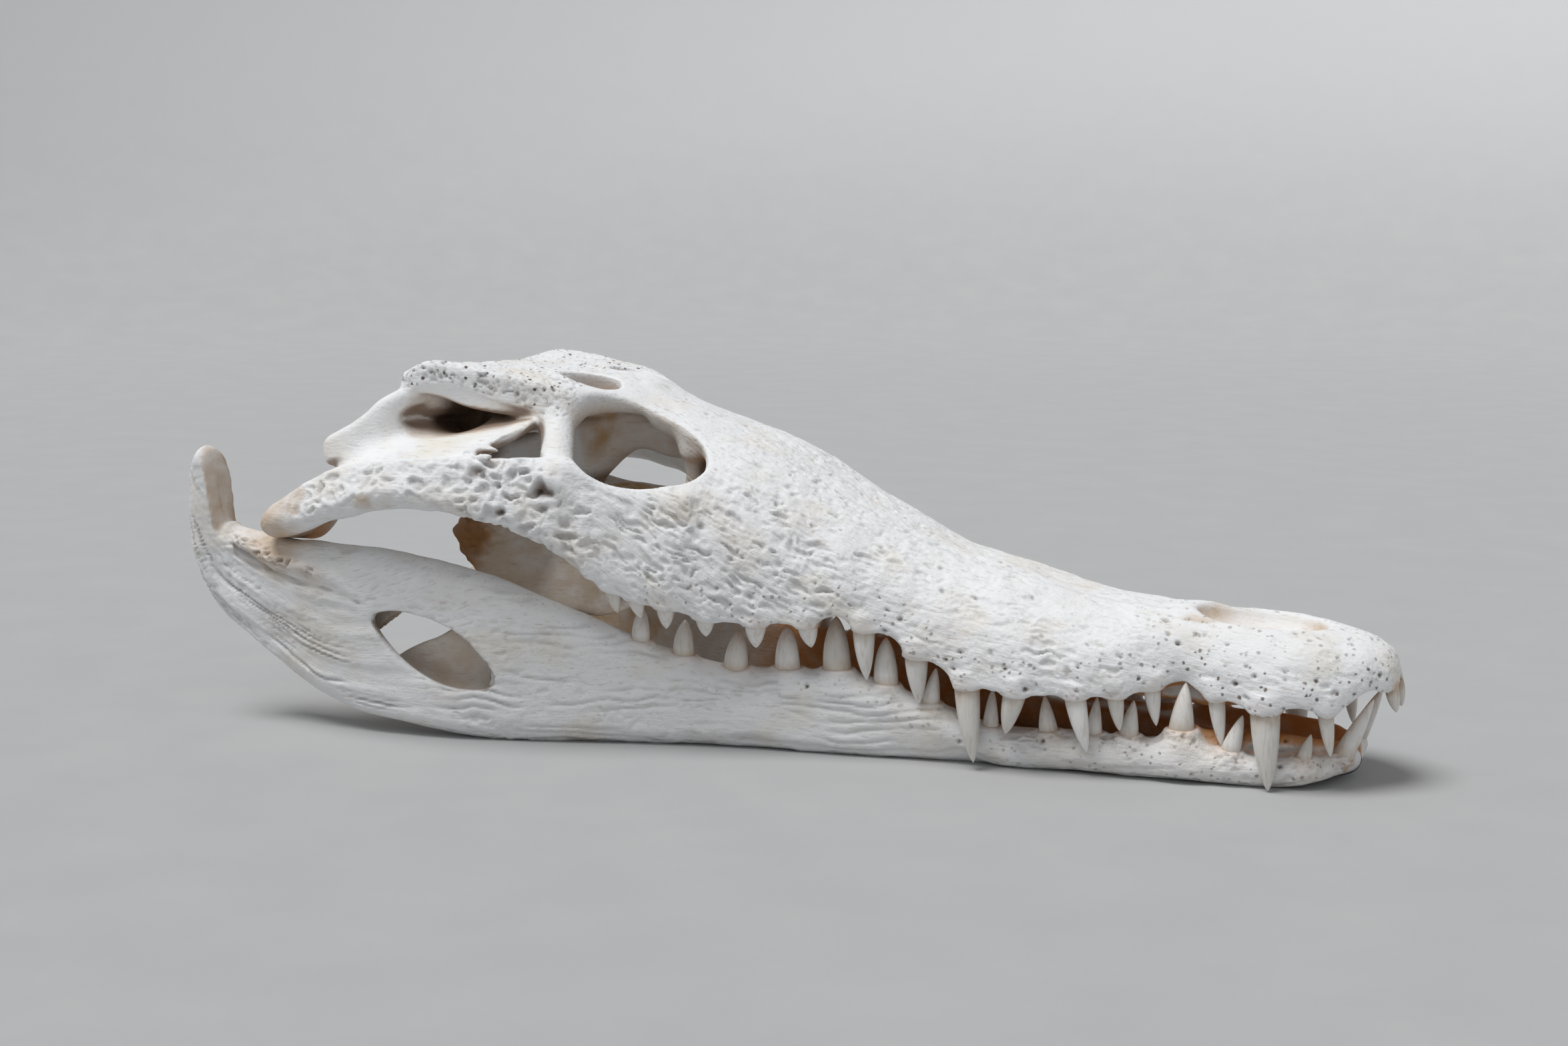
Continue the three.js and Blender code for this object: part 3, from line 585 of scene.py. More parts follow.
# Relief of the upper skull: honeycomb pits on the cheeks, fine pits on the skull table, worm tracks on the
# sides of the snout, and dark nerve holes in rows above the teeth.
points, faces = upper.skin(mirrored=True)
mesh = mesh_of("upper_skull", points, faces)
normals = normals_of(mesh)
x, y, z = points.T
out = np.abs(y)
outward = normals[:, 1] * np.sign(y)
half = along(RIM_HALF_WIDTH, x)[:, 0]
above_rim = z - along(RIM_HEIGHT, x)[:, 0]
hollow = shelter(upper, points, normals)
open_air = 1 - ease(hollow, 0.25, 0.7)
side_face = ease(outward, 0.15, 0.6)
top_face = ease(normals[:, 2], 0.1, 0.6)
under_face = ease(-normals[:, 2], 0.2, 0.7)
lower_jugal = along([row[:3] for row in JUGAL], x)[:, 1]
rear_bar = ease(-x, 112, 132)
cheek = band(x, -200, -64, 13) * band(z - lower_jugal, -14, 26 - 10 * rear_bar, 4)
cheek *= ease(out, 54, 62) * side_face * (1 - ease(hollow, 0.35, 0.7))
cheek *= 1 - rear_bar * (1 - ease(z - lower_jugal, -3, 3)) * 0.85
in_window = 1 - ease(((x + 93) / 14.5) ** 2 + ((out - 22) / 13) ** 2, 0.8, 1.1)
band_foot = along(TABLE_FOOT, x)[:, 0]
table = band(x, -172, -90, 8) * ease(z - band_foot, 0.0, 2.5) * (1 - in_window)
table *= ease(np.maximum(outward, normals[:, 2]), 0.2, 0.6)
snout_skin = ease(x, -60, -30) * np.maximum(side_face, top_face)
flank = ease(x, -90, -62) * (1 - ease(-x, -12, 46) * ease(z, 108, 120)) * (1 - 0.5 * ease(x, 150, 190))
flank *= (1 - 0.35 * ease(x, 40, 90)) * np.maximum(side_face, 0.75 * top_face) * open_air
toothed = ease(x, -60, -30) * band(above_rim, 1, 17, 3) * side_face
muzzle = ease(x, 150, 190) * np.maximum(side_face, top_face) * open_air

warped = warp_of(points)
run_back = np.clip(x + 60, 0, 140)
fall = 0.7 * run_back - 0.002 * run_back**2 + 0.14 * np.clip(x - 80, 0, 300)
slanted = np.stack([warped[:, 0] / 4.4, 0.8 * warped[:, 1], warped[:, 2] + fall], axis=1)
level = warped * (0.62, 1.0, 1.0)
patchy = 0.3 + 0.7 * ease(drift(points, (26, 26, 18), 5), -0.45, 0.35)
honeycomb = cells(level, cheek, 5.4, 11)
small_cells = cells(warped, cheek, 2.8, 15)
big_holes = pits(level, cheek * band(x, -112, -56, 8), 11.0, 3.2, 0.6, 21)
leather = cells(warped, snout_skin * open_air * (1 - cheek) * (1 - 0.6 * ease(x, 150, 200)), 3.2, 45)
table_pits = cells(warped, table, 3.2, 31)
table_holes = pits(points, table, 3.6, 1.1, 0.75, 35)
sparse = pits(warped, snout_skin * open_air, 7.0, 1.4, 0.5, 41)
roof = band(x, -92, -34, 8) * top_face * ease(z, 124, 130) * (1 - in_window) * open_air
sparse = np.maximum(sparse, pits(level, roof, 4.2, 1.2, 0.6, 43))
row_of_holes = np.maximum(toothed * (0.6 + 0.4 * ease(x, 40, 90)), muzzle * 0.7)
nerve_holes = pits(points * (0.8, 1, 1), row_of_holes, 4.7, 1.1, 0.55, 51)
tracked = flank * (1 - cheek) * np.maximum(patchy, 1 - ease(x, 10, 50))
tracks = cells(slanted, tracked, 3.3, 61) * (0.45 + 0.55 * ease(above_rim, 3, 11))
wander = 1.6 * drift(points, (7, 400, 400), 201) + 1.1 * drift(points, (2.6, 400, 400), 202)
nasal = np.interp(x, [0, 60, 120, 175], [17, 15, 12, 8])
seams = np.zeros(len(points))
for line, front, back in ((y, 176, -60), (out - nasal, 176, 0)):
    seam = (1 - ease(np.abs(line + wander), 0.3, 1.3)) * band(x, back, front, 4) * top_face
    seams = np.maximum(seams, seam)
lumps = drift(points, (17, 13, 13), 3) * 0.6 + drift(points, (6, 6, 6), 4) * 0.3
rough_cheek = drift(points, (4.0, 4.0, 4.0), 8) * 0.3 * cheek
sunk = summed((3.4, honeycomb * (1 - 0.45 * rear_bar)), (0.5, small_cells), (2.8, big_holes),
              (1.3, table_pits), (1.2, table_holes), (0.9, sparse), (1.7, nerve_holes), (1.9, tracks),
              (0.35, leather), (0.5, seams))
ragged_wing = band(x, -160, -126, 6) * (1 - ease(z, 98, 106)) * (1 - ease(out, 62, 72)) * ease(out, 34, 42)
ragged_wing *= 1.5 * drift(points, (3.2, 3.2, 3.2), 9) - 0.6
push = lumps * open_air + rough_cheek + 1.3 * cheek + 0.5 * flank + ragged_wing - sunk
points = points + normals * push[:, None]
# The hind skull leans by about a degree to its left, as in the photo.
HIND_LEAN = 0.02
points[:, 2] -= HIND_LEAN * y * ease(-x, 70, 120) * ease(z, 128, 150)

# Where the bleach left colour: joints, ear, wings of the pterygoid, the mouth's roof and the tooth sockets.
# Painted shade is added as well: in closed-in hollows, in pits and in the deep ear hole.
JOINT_KNOB = (-214, 91, 89)
wing = band(x, -150, -40, 10) * (1 - ease(z, 96, 112)) * (1 - ease(out, 62, 72))
wing_edge = wing * (1 - ease(x + 3 * drift(points, (5, 5, 5), 92), -138, -128))
one_side = np.stack([points[:, 0], np.abs(points[:, 1]), points[:, 2]], axis=1)
joint = np.linalg.norm(one_side - JOINT_KNOB, axis=1)
joint_stain = 1 - ease(joint, 10, 28)
inner_joint = (1 - ease(joint, 16, 30)) * (1 - ease(out, 82, 90)) * (1 - ease(z, 92, 100))
# Painted shade: the deep ear hole is darkened through the pit mark.
ear_deep = band(x, -172, -118, 5) * band(z, 128, 149, 3) * (1 - ease(out, 46, 56)) * ease(hollow, 0.2, 0.5)
mouth_roof = under_face * (1 - ease(out - half, -7, -2)) * ease(x, -60, -20)
ear_stain = band(x, -172, -104, 10) * band(z, 126, 150, 5) * ease(hollow, 0.2, 0.6)
window_stain = in_window * (1 - ease(z, 150, 155))
inner_eye = band(x, -100, -24, 6) * band(z, 84, 146, 5) * (1 - ease(out, 60, 70))
inner_eye *= 1 - ease(normals[:, 2], 0.2, 0.6)
nostril = band(x, 180, 240, 4) * (1 - ease(out, 18, 20)) * ease(z, 48, 52)
nostril *= 1 - ease(z + 0.1 * (x - 209), 62, 66)
nostril_ends = nostril * (0.1 + 0.6 * ease(np.abs(x - 209), 12, 24))
nostril_floor = band(x, 178, 242, 3) * ease(z, 50, 54)
patches = ease(drift(points, (22, 22, 22), 90), 0.15, 0.75)
rear_stain = band(x, -206, -150, 8) * side_face * (1 - ease(z, 115, 120))
rear_stain *= ease(drift(points, (10, 10, 6), 94), 0.05, 0.5)
socket_stain = near_roots(points, upper_roots, 3.0) * (1 - 0.8 * side_face)
# The pit mark darkens pits, grooves, seams and the deep ear hole: dark seams and specks, plus painted shade
# in the recesses.
marks = {
    "pit": summed((0.3, honeycomb), (0.1, small_cells), (0.9, big_holes), (0.25, table_pits),
                  (0.6, table_holes), (0.5, sparse), (1.0, nerve_holes), (0.2, tracks), (0.16, seams),
                  (0.06, leather), (0.85, ear_deep), (0.45, wing_edge)),
    # The hollow mark darkens closed-in places: partly brown stain, partly painted shade.
    "hollow": hollow * (1 - 0.7 * nostril_floor) * (1 - 0.55 * mouth_roof * ease(x, 40, 120)),
    "stain": summed((0.55, wing), (0.75, joint_stain), (0.4, rear_stain), (0.4, ear_stain),
                    (0.5, window_stain), (0.4, inner_eye), (1.0, nostril_ends), (0.12, patches)),
    "mouth": summed((1.0, mouth_roof), (1.0, wing_edge), (1.0, inner_joint), (0.8, socket_stain)),
    "dots": summed((0.95, table), (0.3, muzzle), (0.4, toothed), (0.15, snout_skin * open_air)),
}
flow = np.stack([x, y, z + fall], axis=1)
finish_relief(mesh, points, marks, flow)


def colour(code):
    """Linear colour from an sRGB hex value."""
    parts = [int(code[k:k + 2], 16) / 255 for k in (1, 3, 5)]
    return (*[c / 12.92 if c <= 0.04045 else ((c + 0.055) / 1.055) ** 2.4 for c in parts], 1.0)


def add(tree, kind, values=None, links=None, **settings):
    """One node with its settings, its own values and what is linked into it."""
    made = tree.nodes.new(kind)
    for key, value in settings.items():
        setattr(made, key, value)
    for key, value in (values or {}).items():
        made.inputs[key].default_value = value
    for key, source in (links or {}).items():
        tree.links.new(source, made.inputs[key])
    return made


def maths(tree, operation, a, b):
    """The sum, product or the like of two values, each a number or what another node gives."""
    made = add(tree, "ShaderNodeMath", operation=operation)
    for key, value in enumerate((a, b)):
        if isinstance(value, float):
            made.inputs[key].default_value = value
        else:
            tree.links.new(value, made.inputs[key])
    return made.outputs[0]


def ranged(tree, value, start, end, least=0.0, most=1.0):
    """A value carried over from the range start to end into the range least to most."""
    limits = {"From Min": start, "From Max": end, "To Min": least, "To Max": most}
    return add(tree, "ShaderNodeMapRange", limits, {"Value": value}).outputs["Result"]


def speckle(tree, place, size, detail, roughness=0.5):
    """Noise with lumps about size metres across."""
    values = {"Scale": 1 / size, "Detail": detail, "Roughness": roughness}
    return add(tree, "ShaderNodeTexNoise", values, {"Vector": place}).outputs["Fac"]


def tinted(tree, tone, code, share):
    """A tone, or a hex value to start from, with a share of another colour over it."""
    values, links = {"B": colour(code)}, {"Factor": share}
    if isinstance(tone, str):
        values["A"] = colour(tone)
    else:
        links["A"] = tone
    return add(tree, "ShaderNodeMix", values, links, data_type="RGBA").outputs["Result"]


def surfaced(tree, tone, gloss, dents, bending):
    """Ends a material with its colour, its roughness, its finest relief and how much it bends light."""
    shader = tree.nodes["Principled BSDF"]
    shader.inputs["IOR"].default_value = bending
    tree.links.new(tone, shader.inputs["Base Color"])
    tree.links.new(gloss, shader.inputs["Roughness"])
    tree.links.new(dents.outputs["Normal"], shader.inputs["Normal"])
    return shader


# Bleached bone, whitened by sun and peroxide: dry, matte and chalky, ivory to tan where fat stayed in it.
# Whitest on high places; deep hollows are brown, partly stain and partly painted shade, and pits and pores
# have dark specks, with painted shade darkening the pits as well.
CHALK, IVORY, FATTY, FLESHY = "#ECEDEE", "#E2D9C6", "#B9935F", "#C58A50"
STAIN_AND_SHADE_BROWN, SPECK_AND_PIT_SHADE_BROWN, FIBRE_TAN = "#6E4E30", "#574231", "#A99676"
bone = bpy.data.materials.new("bleached_bone")
bone.use_nodes = True
tree = bone.node_tree
place = add(tree, "ShaderNodeTexCoord").outputs["Object"]
mark = {}
for key in ("pit", "hollow", "stain", "mouth", "dots"):
    mark[key] = add(tree, "ShaderNodeAttribute", attribute_name=key).outputs["Fac"]
flow_in = add(tree, "ShaderNodeAttribute", attribute_name="flow").outputs["Vector"]
clouds = speckle(tree, place, 0.028, 5.0)
tone = tinted(tree, CHALK, IVORY, ranged(tree, clouds, 0.5, 0.72, most=0.55))
blotches = speckle(tree, place, 0.009, 6.0)
stained = maths(tree, "MULTIPLY", mark["stain"], ranged(tree, blotches, 0.3, 0.62, least=0.45))
tone = tinted(tree, tone, FATTY, stained)
fleshy = maths(tree, "MULTIPLY", mark["mouth"], ranged(tree, blotches, 0.3, 0.55, least=0.7))
tone = tinted(tree, tone, FLESHY, fleshy)
# Painted shade mixed with brown stain: places are darkened toward brown by how closed in they are.
tone = tinted(tree, tone, STAIN_AND_SHADE_BROWN, ranged(tree, mark["hollow"], 0.45, 1.0, most=0.75))
# Specks about 3.6 mm apart with ragged edges, where the marks ask for dots.
specks = add(tree, "ShaderNodeTexVoronoi", {"Scale": 1 / 0.0036}, {"Vector": place}).outputs["Distance"]
ragged = maths(tree, "MULTIPLY", speckle(tree, place, 0.0025, 2.0), 0.7)
speck = ranged(tree, maths(tree, "ADD", specks, ragged), 0.58, 0.44)
speck = maths(tree, "MULTIPLY", speck, mark["dots"])
# Painted shade mixed with real marks: pits are darkened toward brown by their depth, and dots are drawn as
# specks.
tone = tinted(tree, tone, SPECK_AND_PIT_SHADE_BROWN, maths(tree, "MAXIMUM", speck, mark["pit"]))
# Fibres lie along the bone, about 1 mm apart and 8 mm long; pores are about 1.5 mm apart.
lie = add(tree, "ShaderNodeMapping", {"Scale": (0.13, 0.6, 1.0)}, {"Vector": flow_in}).outputs["Vector"]
fibres = speckle(tree, lie, 0.0011, 3.0, 0.6)
pores = speckle(tree, place, 0.0015, 4.0, 0.6)
height = maths(tree, "ADD", pores, fibres)
height = maths(tree, "SUBTRACT", height, maths(tree, "MULTIPLY", speck, 2.0))
dents = add(tree, "ShaderNodeBump", {"Strength": 0.5, "Distance": 0.0006}, {"Height": height})
tone = tinted(tree, tone, FIBRE_TAN, ranged(tree, fibres, 0.42, 0.3, most=0.35))
gloss = ranged(tree, blotches, 0.0, 1.0, 0.5, 0.8)
shader = surfaced(tree, tone, gloss, dents, 1.5)
shader.inputs["Specular IOR Level"].default_value = 0.35


def put(name, data):
    """A new object in the scene, at the origin."""
    made = bpy.data.objects.new(name, data)
    bpy.context.scene.collection.objects.link(made)
    return made


# The upper skull is made as six pieces that meet at closed cuts, so that each stays a light mesh.
def piece(source, name, cuts, nodes):
    """The part of source on the kept side of each cut (axis, place in mm, side kept), standing for nodes."""
    work = bmesh.new()
    work.from_mesh(source)
    for axis, place, keep in cuts:
        normal = [0.0, 0.0, 0.0]
        normal[axis] = -float(keep)
        point = [0.0, 0.0, 0.0]
        point[axis] = place / 1000.0
        everything = work.verts[:] + work.edges[:] + work.faces[:]
        cut = bmesh.ops.bisect_plane(
            work, geom=everything, plane_co=point, plane_no=normal, clear_outer=True)
        rim = [item for item in cut["geom_cut"] if isinstance(item, bmesh.types.BMEdge)]
        lid = bmesh.ops.triangle_fill(work, edges=rim, use_beauty=True, normal=normal)
        for item in lid["geom"]:
            if isinstance(item, bmesh.types.BMFace):
                item.smooth = False
                for edge in item.edges:
                    edge.smooth = False
    mesh = bpy.data.meshes.new(name)
    work.to_mesh(mesh)
    work.free()
    mesh.materials.append(bone)
    made = put(name, mesh)
    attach(made, "root")
    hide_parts(*nodes)


EYE_CUT = -30.15
SNOUT_CUT = 98.0
TEMPLE_CUT = -104.0
piece(mesh, "snout_tip", [(0, SNOUT_CUT, 1)], ["snout"])
piece(mesh, "snout_back", [(0, SNOUT_CUT, -1), (0, EYE_CUT, 1)], ["snout"])
for name, side in (("right", -1), ("left", 1)):
    piece(mesh, "cheek_" + name, [(0, EYE_CUT, -1), (0, TEMPLE_CUT, 1), (1, 0.0, side)],
          ["jugal_" + name, "pterygoid_" + name])
    piece(mesh, "hind_skull_" + name, [(0, TEMPLE_CUT, -1), (1, 0.0, side)], ["cranium", "quadrate_" + name])

# The lower jaw's form: on each side a deep beam of dentary, surangular, angular and articular, joined at the
# chin. Its window is a gap between three bones, and its rear process stands up behind the joint.
JAW_BLOCK = ((-272.0, -3.0, -4.0), (258.0, 113.0, 132.0))
JAW = [
    (252, -3, 9, 6, 10.5, 4, 4), (247, -4, 7, 14, 9.5, 5, 4), (238, -4, 6, 22, 8, 6, 5),
    (222, -4, 5.6, 27, 6.2, 6, 6), (206, -4, 6, 29, 6.4, 6.4, 6.4), (195, -4, 6.6, 30, 7.2, 7, 7),
    (187, -2, 7.2, 30, 8, 7.6, 7.6), (178, 10, 7.2, 30.5, 8.2, 7.6, 7.8), (163, 22, 7.2, 32, 8.2, 7.6, 8),
    (135, 26, 7.4, 33.5, 8.5, 8, 8.2), (104, 31, 7.6, 36, 8.2, 8.2, 8), (88, 34, 8, 37, 13.5, 8.6, 8.6),
    (60, 38, 8.6, 39.5, 21.5, 9.2, 9), (36, 41, 9, 41.5, 27, 9.6, 9), (6, 45, 9, 46, 26, 9.6, 9),
    (-12, 48, 9, 49, 27, 9.6, 8.8), (-43, 55, 9, 58, 35.5, 9.6, 8.4), (-83, 67, 9, 71, 52.5, 9.6, 8.4),
    (-118, 77, 9, 80.5, 66.5, 9.6, 8.6), (-155, 82.5, 13.6, 86, 73.2, 9.2, 8.8),
    (-180, 83.5, 17.8, 88, 75.4, 9.4, 8.8), (-198, 83, 23.5, 88, 76.8, 9.4, 8.8),
    (-220, 82, 36, 87, 78.5, 9.4, 8.4), (-236, 83, 46.6, 86, 80, 9.4, 8), (-246, 84, 54, 85, 82, 9.4, 8.4),
    (-250.5, 84.3, 58.5, 85.2, 86, 9.2, 8.6), (-254, 85, 63, 85.6, 110, 9, 9),
    (-258, 85.5, 70, 86, 116.5, 8.8, 8.8), (-264, 86.5, 86, 86.5, 112.5, 8, 7.6),
    (-267, 87, 98, 87, 108, 6, 6),
]
JAW_JOINT = {"at": (-211, 84, 99), "half": (17, 30, 13.5)}
JAW_WINDOW = [
    (-167.5, 53.5), (-164, 47), (-156, 37.5), (-146, 30), (-134, 24.6), (-122, 23.5), (-113, 25),
    (-111, 29), (-117, 38), (-125, 47), (-137, 52), (-149, 55), (-158, 56),
]
JAW_FOSSA = [
    (-104, 74, 30, 75, 38, 2, 2), (-118, 77.5, 26, 79, 50, 4.4, 4.2), (-140, 81, 25, 83, 57, 5, 4.6),
    (-165, 83.5, 36, 86, 62, 5, 4.6), (-186, 85, 52, 86.5, 64, 3, 3),
]
JAW_GATE = [
    (-174, 24), (-164.5, 34), (-152, 40.3), (-143, 43.4), (-133, 50), (-128, 62), (-150, 70), (-176, 71),
    (-194, 66), (-192, 50), (-182, 34),
]
JAW_CREST = [
    (-172, 93, 62, 93.4, 63, 1.4, 1.4), (-182, 95, 69, 95.4, 69.4, 2, 2),
    (-197, 95.4, 73, 95.8, 73.4, 2.4, 2.4), (-219, 94.4, 76.4, 94.8, 77, 2.6, 2.6),
    (-241, 91.6, 84, 92, 84.6, 2.6, 2.6),
]
JAW_TROUGH = [
    (-168, 97, 57.6, 98, 58.2, 1.6, 1.6), (-184, 97.5, 62.6, 99, 63.2, 2.8, 2.8),
    (-204, 97, 66.6, 99, 67.4, 3.5, 3.5), (-222, 95.6, 71.2, 98, 72, 3.5, 3.5),
    (-241, 93, 79.6, 96, 80.6, 2.8, 2.8),
]
INNER_RIDGE = [
    (250, 4, 12, 5, 13, 3, 3), (238, 13, 12.5, 14, 14.5, 4, 4), (222, 18, 13, 19, 15.5, 4.6, 4.6),
    (204, 20, 13, 21, 15.5, 4.8, 4.8), (188, 21, 12, 22, 14.5, 4.8, 4.8), (170, 22, 10, 23, 11, 4, 4),
]
POST_GROOVE = {"at": (-247.5, 85.5, 104), "half": (5.5, 4.5, 13)}
WINDOW_ROOM = ((-200, 0, 0), (-90, 113, 80))
WINDOW_GROWTH = 1.0  # the cut is this much wider than the outline
OUTER_WALL, INNER_WALL = 82.0, 79.0  # the window is cut outside the first, the gate inside the second
CHIN_GAP = 0.15
BROKEN_END = -214.0

jaw = Clay(*JAW_BLOCK)
jaw.bone(JAW, 1.0)
jaw.bone(JAW_CREST, 3.0)
jaw.bone(INNER_RIDGE, 3.0)
jaw.bone(JAW_TROUGH, 1.5, add=False)
jaw.oval(JAW_JOINT, 4.0)
jaw.oval(POST_GROOVE, 2.0)
LOWER_TEETH = [
    (246, 5, 28, 4.2, 25, 4, 0), (232, 5, 12, 3.2, 14, 4, 0), (203, 6, 17, 4.2, 16, 2, 1),
    (183, 7, 21, 5.4, 3, 2, 5.5), (161.5, 6.5, 16, 4.2, 6, 2, 1.5), (147, 6.5, 17, 3.6, 3, 2, 0.5),
    (128, 6.5, 16, 4.2, -9, 2, 0.5), (103, 6.5, 18, 3.6, 1, 2, 0), (77, 6.5, 16, 4, 6, 2, 0),
    (57.3, 7, 21, 5.4, -3, 2, 1), (35.5, 7, 24, 6.2, -4, 2, 1), (13.7, 7, 19.5, 5.6, -4, 2, 1),
    (-9.5, 7, 17, 5.4, 2, 2, 0), (-32, 7, 16.5, 4.8, 0, 2, 0), (-50, 7, 15.5, 4.2, 0, 2, 0),
]
lower_roots = []
for x, inset, length, radius, lean, splay, lift in LOWER_TEETH:
    _, _, out, z, _, round_top = along(JAW, np.array([x]))[0]
    root = (x, out + round_top - inset, z + round_top - 1.5 + lift)
    lower_roots.append((*root, length, radius, lean, splay))
    socket(jaw, (x, root[1] - 0.4), radius + COLLAR, z, root[2] + 1.6, 3.0 + 1.2 * lift)

# The window is cut through the outer wall, and the hollow behind it has a gate to the inner side.
cut, x, out, z = jaw.room(*WINDOW_ROOM)
window = np.maximum(ring(JAW_WINDOW, x, z) - WINDOW_GROWTH, OUTER_WALL - out)
gate = np.maximum(ring(JAW_GATE, x, z), out - INNER_WALL)
jaw.carve(cut, window.astype(np.float32), 2.0)
jaw.bone(JAW_FOSSA, 2.0, add=False)
jaw.carve(cut, gate.astype(np.float32), 2.0)

# Relief of the lower jaw: wavy grooves along the dentary, ridges that run together at the rear along the
# lower edge, slits on the smooth upper bone, a rough trough before the joint and nerve holes at the chin.
JAW_CUT = -30.0
JOINT_HOLLOW = (-218, 85, 88)
SEAM_X, SEAM_Z, SEAM_SLOPE = -139.0, 40.0, -0.446  # between the upper and lower bones, through the window
TROUGH = [(-167, 57), (-182, 62.7), (-204, 67), (-222, 71.5), (-241, 80.5)]


def jaw_side(side):
    """One side of the lower jaw (-1 right, 1 left) as two pieces; the left one has lost its rear process."""
    name = "right" if side < 0 else "left"
    clay = Clay(*JAW_BLOCK)
    clay.field = jaw.field.copy()
    if side > 0:
        cut, x, out, z = clay.room(*JAW_BLOCK)
        ragged = 4.0 * np.sin(out * 0.31 + 1) * np.cos(z * 0.13)
        ragged = ragged + 0.5 * np.sin(out * 0.9) * np.sin(z * 0.71 + 2)
        clay.field = np.maximum(clay.field, BROKEN_END + ragged - x).astype(np.float32)
    points, faces = clay.skin(mirrored=False)
    points[:, 1] *= side
    mesh = mesh_of("jaw_" + name, points, faces)
    normals = normals_of(mesh)
    x, y, z = points.T
    out = np.abs(y)
    outward = normals[:, 1] * side
    at = along(JAW, x)
    low, high = at[:, 1] - at[:, 4], at[:, 3] + at[:, 5]
    hollow = shelter(clay, points, normals, side)
    open_air = 1 - ease(hollow, 0.3, 0.75)
    share = np.clip((z - at[:, 1]) / (at[:, 3] - at[:, 1]), 0, 1)
    core = at[:, 0] + (at[:, 2] - at[:, 0]) * share
    wall = band(x, -188, -100, 6) * band(z, 18, 70, 4) * ease(core + 2 - out, 0, 3)
    outer = ease(outward, 0.1, 0.55) * (1 - wall)
    level = np.stack([x, y, z - 0.5 * low], axis=1)
    dentary = ease(x, -112, -90)
    below_window = ease(SEAM_Z + SEAM_SLOPE * (x - SEAM_X) - z, -3, 5)
    angular = (1 - dentary) * below_window
    upper_plate = (1 - dentary) * (1 - below_window)
    fan = np.stack([x, y, (z - low) * (1 + 0.010 * np.clip(-120 - x, 0, 130))], axis=1)
    grooves = furrows(level, outer * dentary * (1 - 0.4 * ease(x, 60, 150)), 4.2, 101)
    ridges = furrows(fan, outer * angular * (1 - ease(z - low, 20, 36)), 4.6, 111)
    slits = furrows(level, outer * upper_plate, 9.0, 121) * ease(drift(points, (20, 20, 12), 122), 0.0, 0.4)
    warped = warp_of(points)
    crinkled = outer * (0.35 + 0.65 * ease(drift(points, (30, 20, 12), 163), -0.3, 0.3))
    crinkle = cells(warped * (0.35, 0.8, 1), crinkled, 2.8, 165)
    rim_mask = band(high - z, 1, 12, 2) * ease(x, -40, -10) * outer
    chin = ease(x, 90, 160) * np.maximum(outer, ease(-normals[:, 2], 0.2, 0.7) * 0.5)
    nerve_holes = pits(points, np.maximum(rim_mask, chin * 0.9), 5.4, 1.2, 0.5, 131)
    sockets = near_roots(points, lower_roots, 8.0) * outer * ease(x, 90, 150)
    gum_pits = cells(warped, sockets, 2.9, 133)
    trough_line = np.interp(-x, [-row[0] for row in TROUGH], [row[1] for row in TROUGH])
    trough = (1 - ease(np.abs(z - trough_line), 1.0, 6.5)) * band(x, -242, -176, 9) * outer
    crest = band(z - trough_line, 3.5, 10.5, 2) * band(x, -244, -190, 8) * outer
    sway = 0.7 * drift(points, (16, 8, 5), 142)
    strands = 0.5 + 0.5 * np.cos(2 * math.pi * ((z - trough_line) / 3.1 + sway))
    rough = trough * (0.7 * strands * ease(drift(points, (9, 6, 3), 141), -0.5, 0.3) - 0.35)
    rough = rough + crest * (cells(warped * (0.6, 1, 1), crest, 3.4, 143) - 0.15)
    lumps = drift(points, (24, 14, 14), 103) * 0.6 + drift(points, (7, 6, 5), 104) * 0.25
    wavy = drift(fan, (34, 9, 6.5), 105) * 0.8 * outer * angular
    sunk = summed((0.8, grooves), (2.0, ridges), (0.4, slits), (1.5, nerve_holes), (3.0, rough),
                  (0.7 + 0.6 * chin, crinkle), (1.2, gum_pits))
    points = points + normals * (lumps * open_air + wavy - sunk)[:, None]
    points[:, 1] = side * np.maximum(side * points[:, 1], CHIN_GAP)
    joint = np.linalg.norm(points * (1, side, 1) - JOINT_HOLLOW, axis=1)
    joint_stain = 1 - ease(joint, 10, 26)
    socket_stain = near_roots(points, lower_roots, 2.0) * (1 - 0.8 * outer)
    post_front = band(x, -262, -236, 4) * ease(z, 84, 92) * ease(normals[:, 0], 0.1, 0.6)
    inner = ease(-outward, 0.1, 0.6)
    patches = ease(drift(points, (22, 22, 22), 190), 0.2, 0.8)
    brim = at[:, 2] + at[:, 5] - out
    mouth_side = inner * ease(x, -60, -20) * (1 - ease(x, 236, 246))
    mouth_side += ease(normals[:, 2], 0.1, 0.5) * ease(x, 160, 186) * ease(brim, 6, 11)
    mouth_side = np.clip(mouth_side, 0, 1)
    # The pit mark darkens pits, grooves and the trough: dark specks, plus painted shade in the recesses.
    marks = {
        "pit": summed((1.0, nerve_holes), (0.35, np.clip(rough, 0, 1)), (0.15, grooves), (0.2, ridges),
                      (0.2, slits), (0.1 + 0.12 * chin, crinkle), (0.25, gum_pits)),
        # The hollow mark darkens closed-in places: partly brown stain, partly painted shade.
        "hollow": hollow * (1 - 0.6 * np.maximum(trough, wall)) * (1 - 0.55 * mouth_side * ease(x, 40, 120)),
        "stain": summed((0.6, joint_stain), (0.6, post_front), (0.4, inner), (0.1, trough), (0.25, crest),
                        (0.5, wall), (0.12 + 0.3 * chin, patches), (0.1, chin), (0.15, sockets)),
        "mouth": summed((1.0, mouth_side), (0.6, socket_stain)),
        "dots": summed((0.3, rim_mask), (0.25, chin)),
    }
    finish_relief(mesh, points, marks, np.where((dentary > 0.5)[:, None], level, fan))
    piece(mesh, "jaw_front_" + name, [(0, JAW_CUT, 1)], ["dentary_" + name])
    piece(mesh, "jaw_rear_" + name, [(0, JAW_CUT, -1)],
          [bone_name + "_" + name for bone_name in ("surangular", "angular", "articular")])


jaw_side(-1)
jaw_side(1)

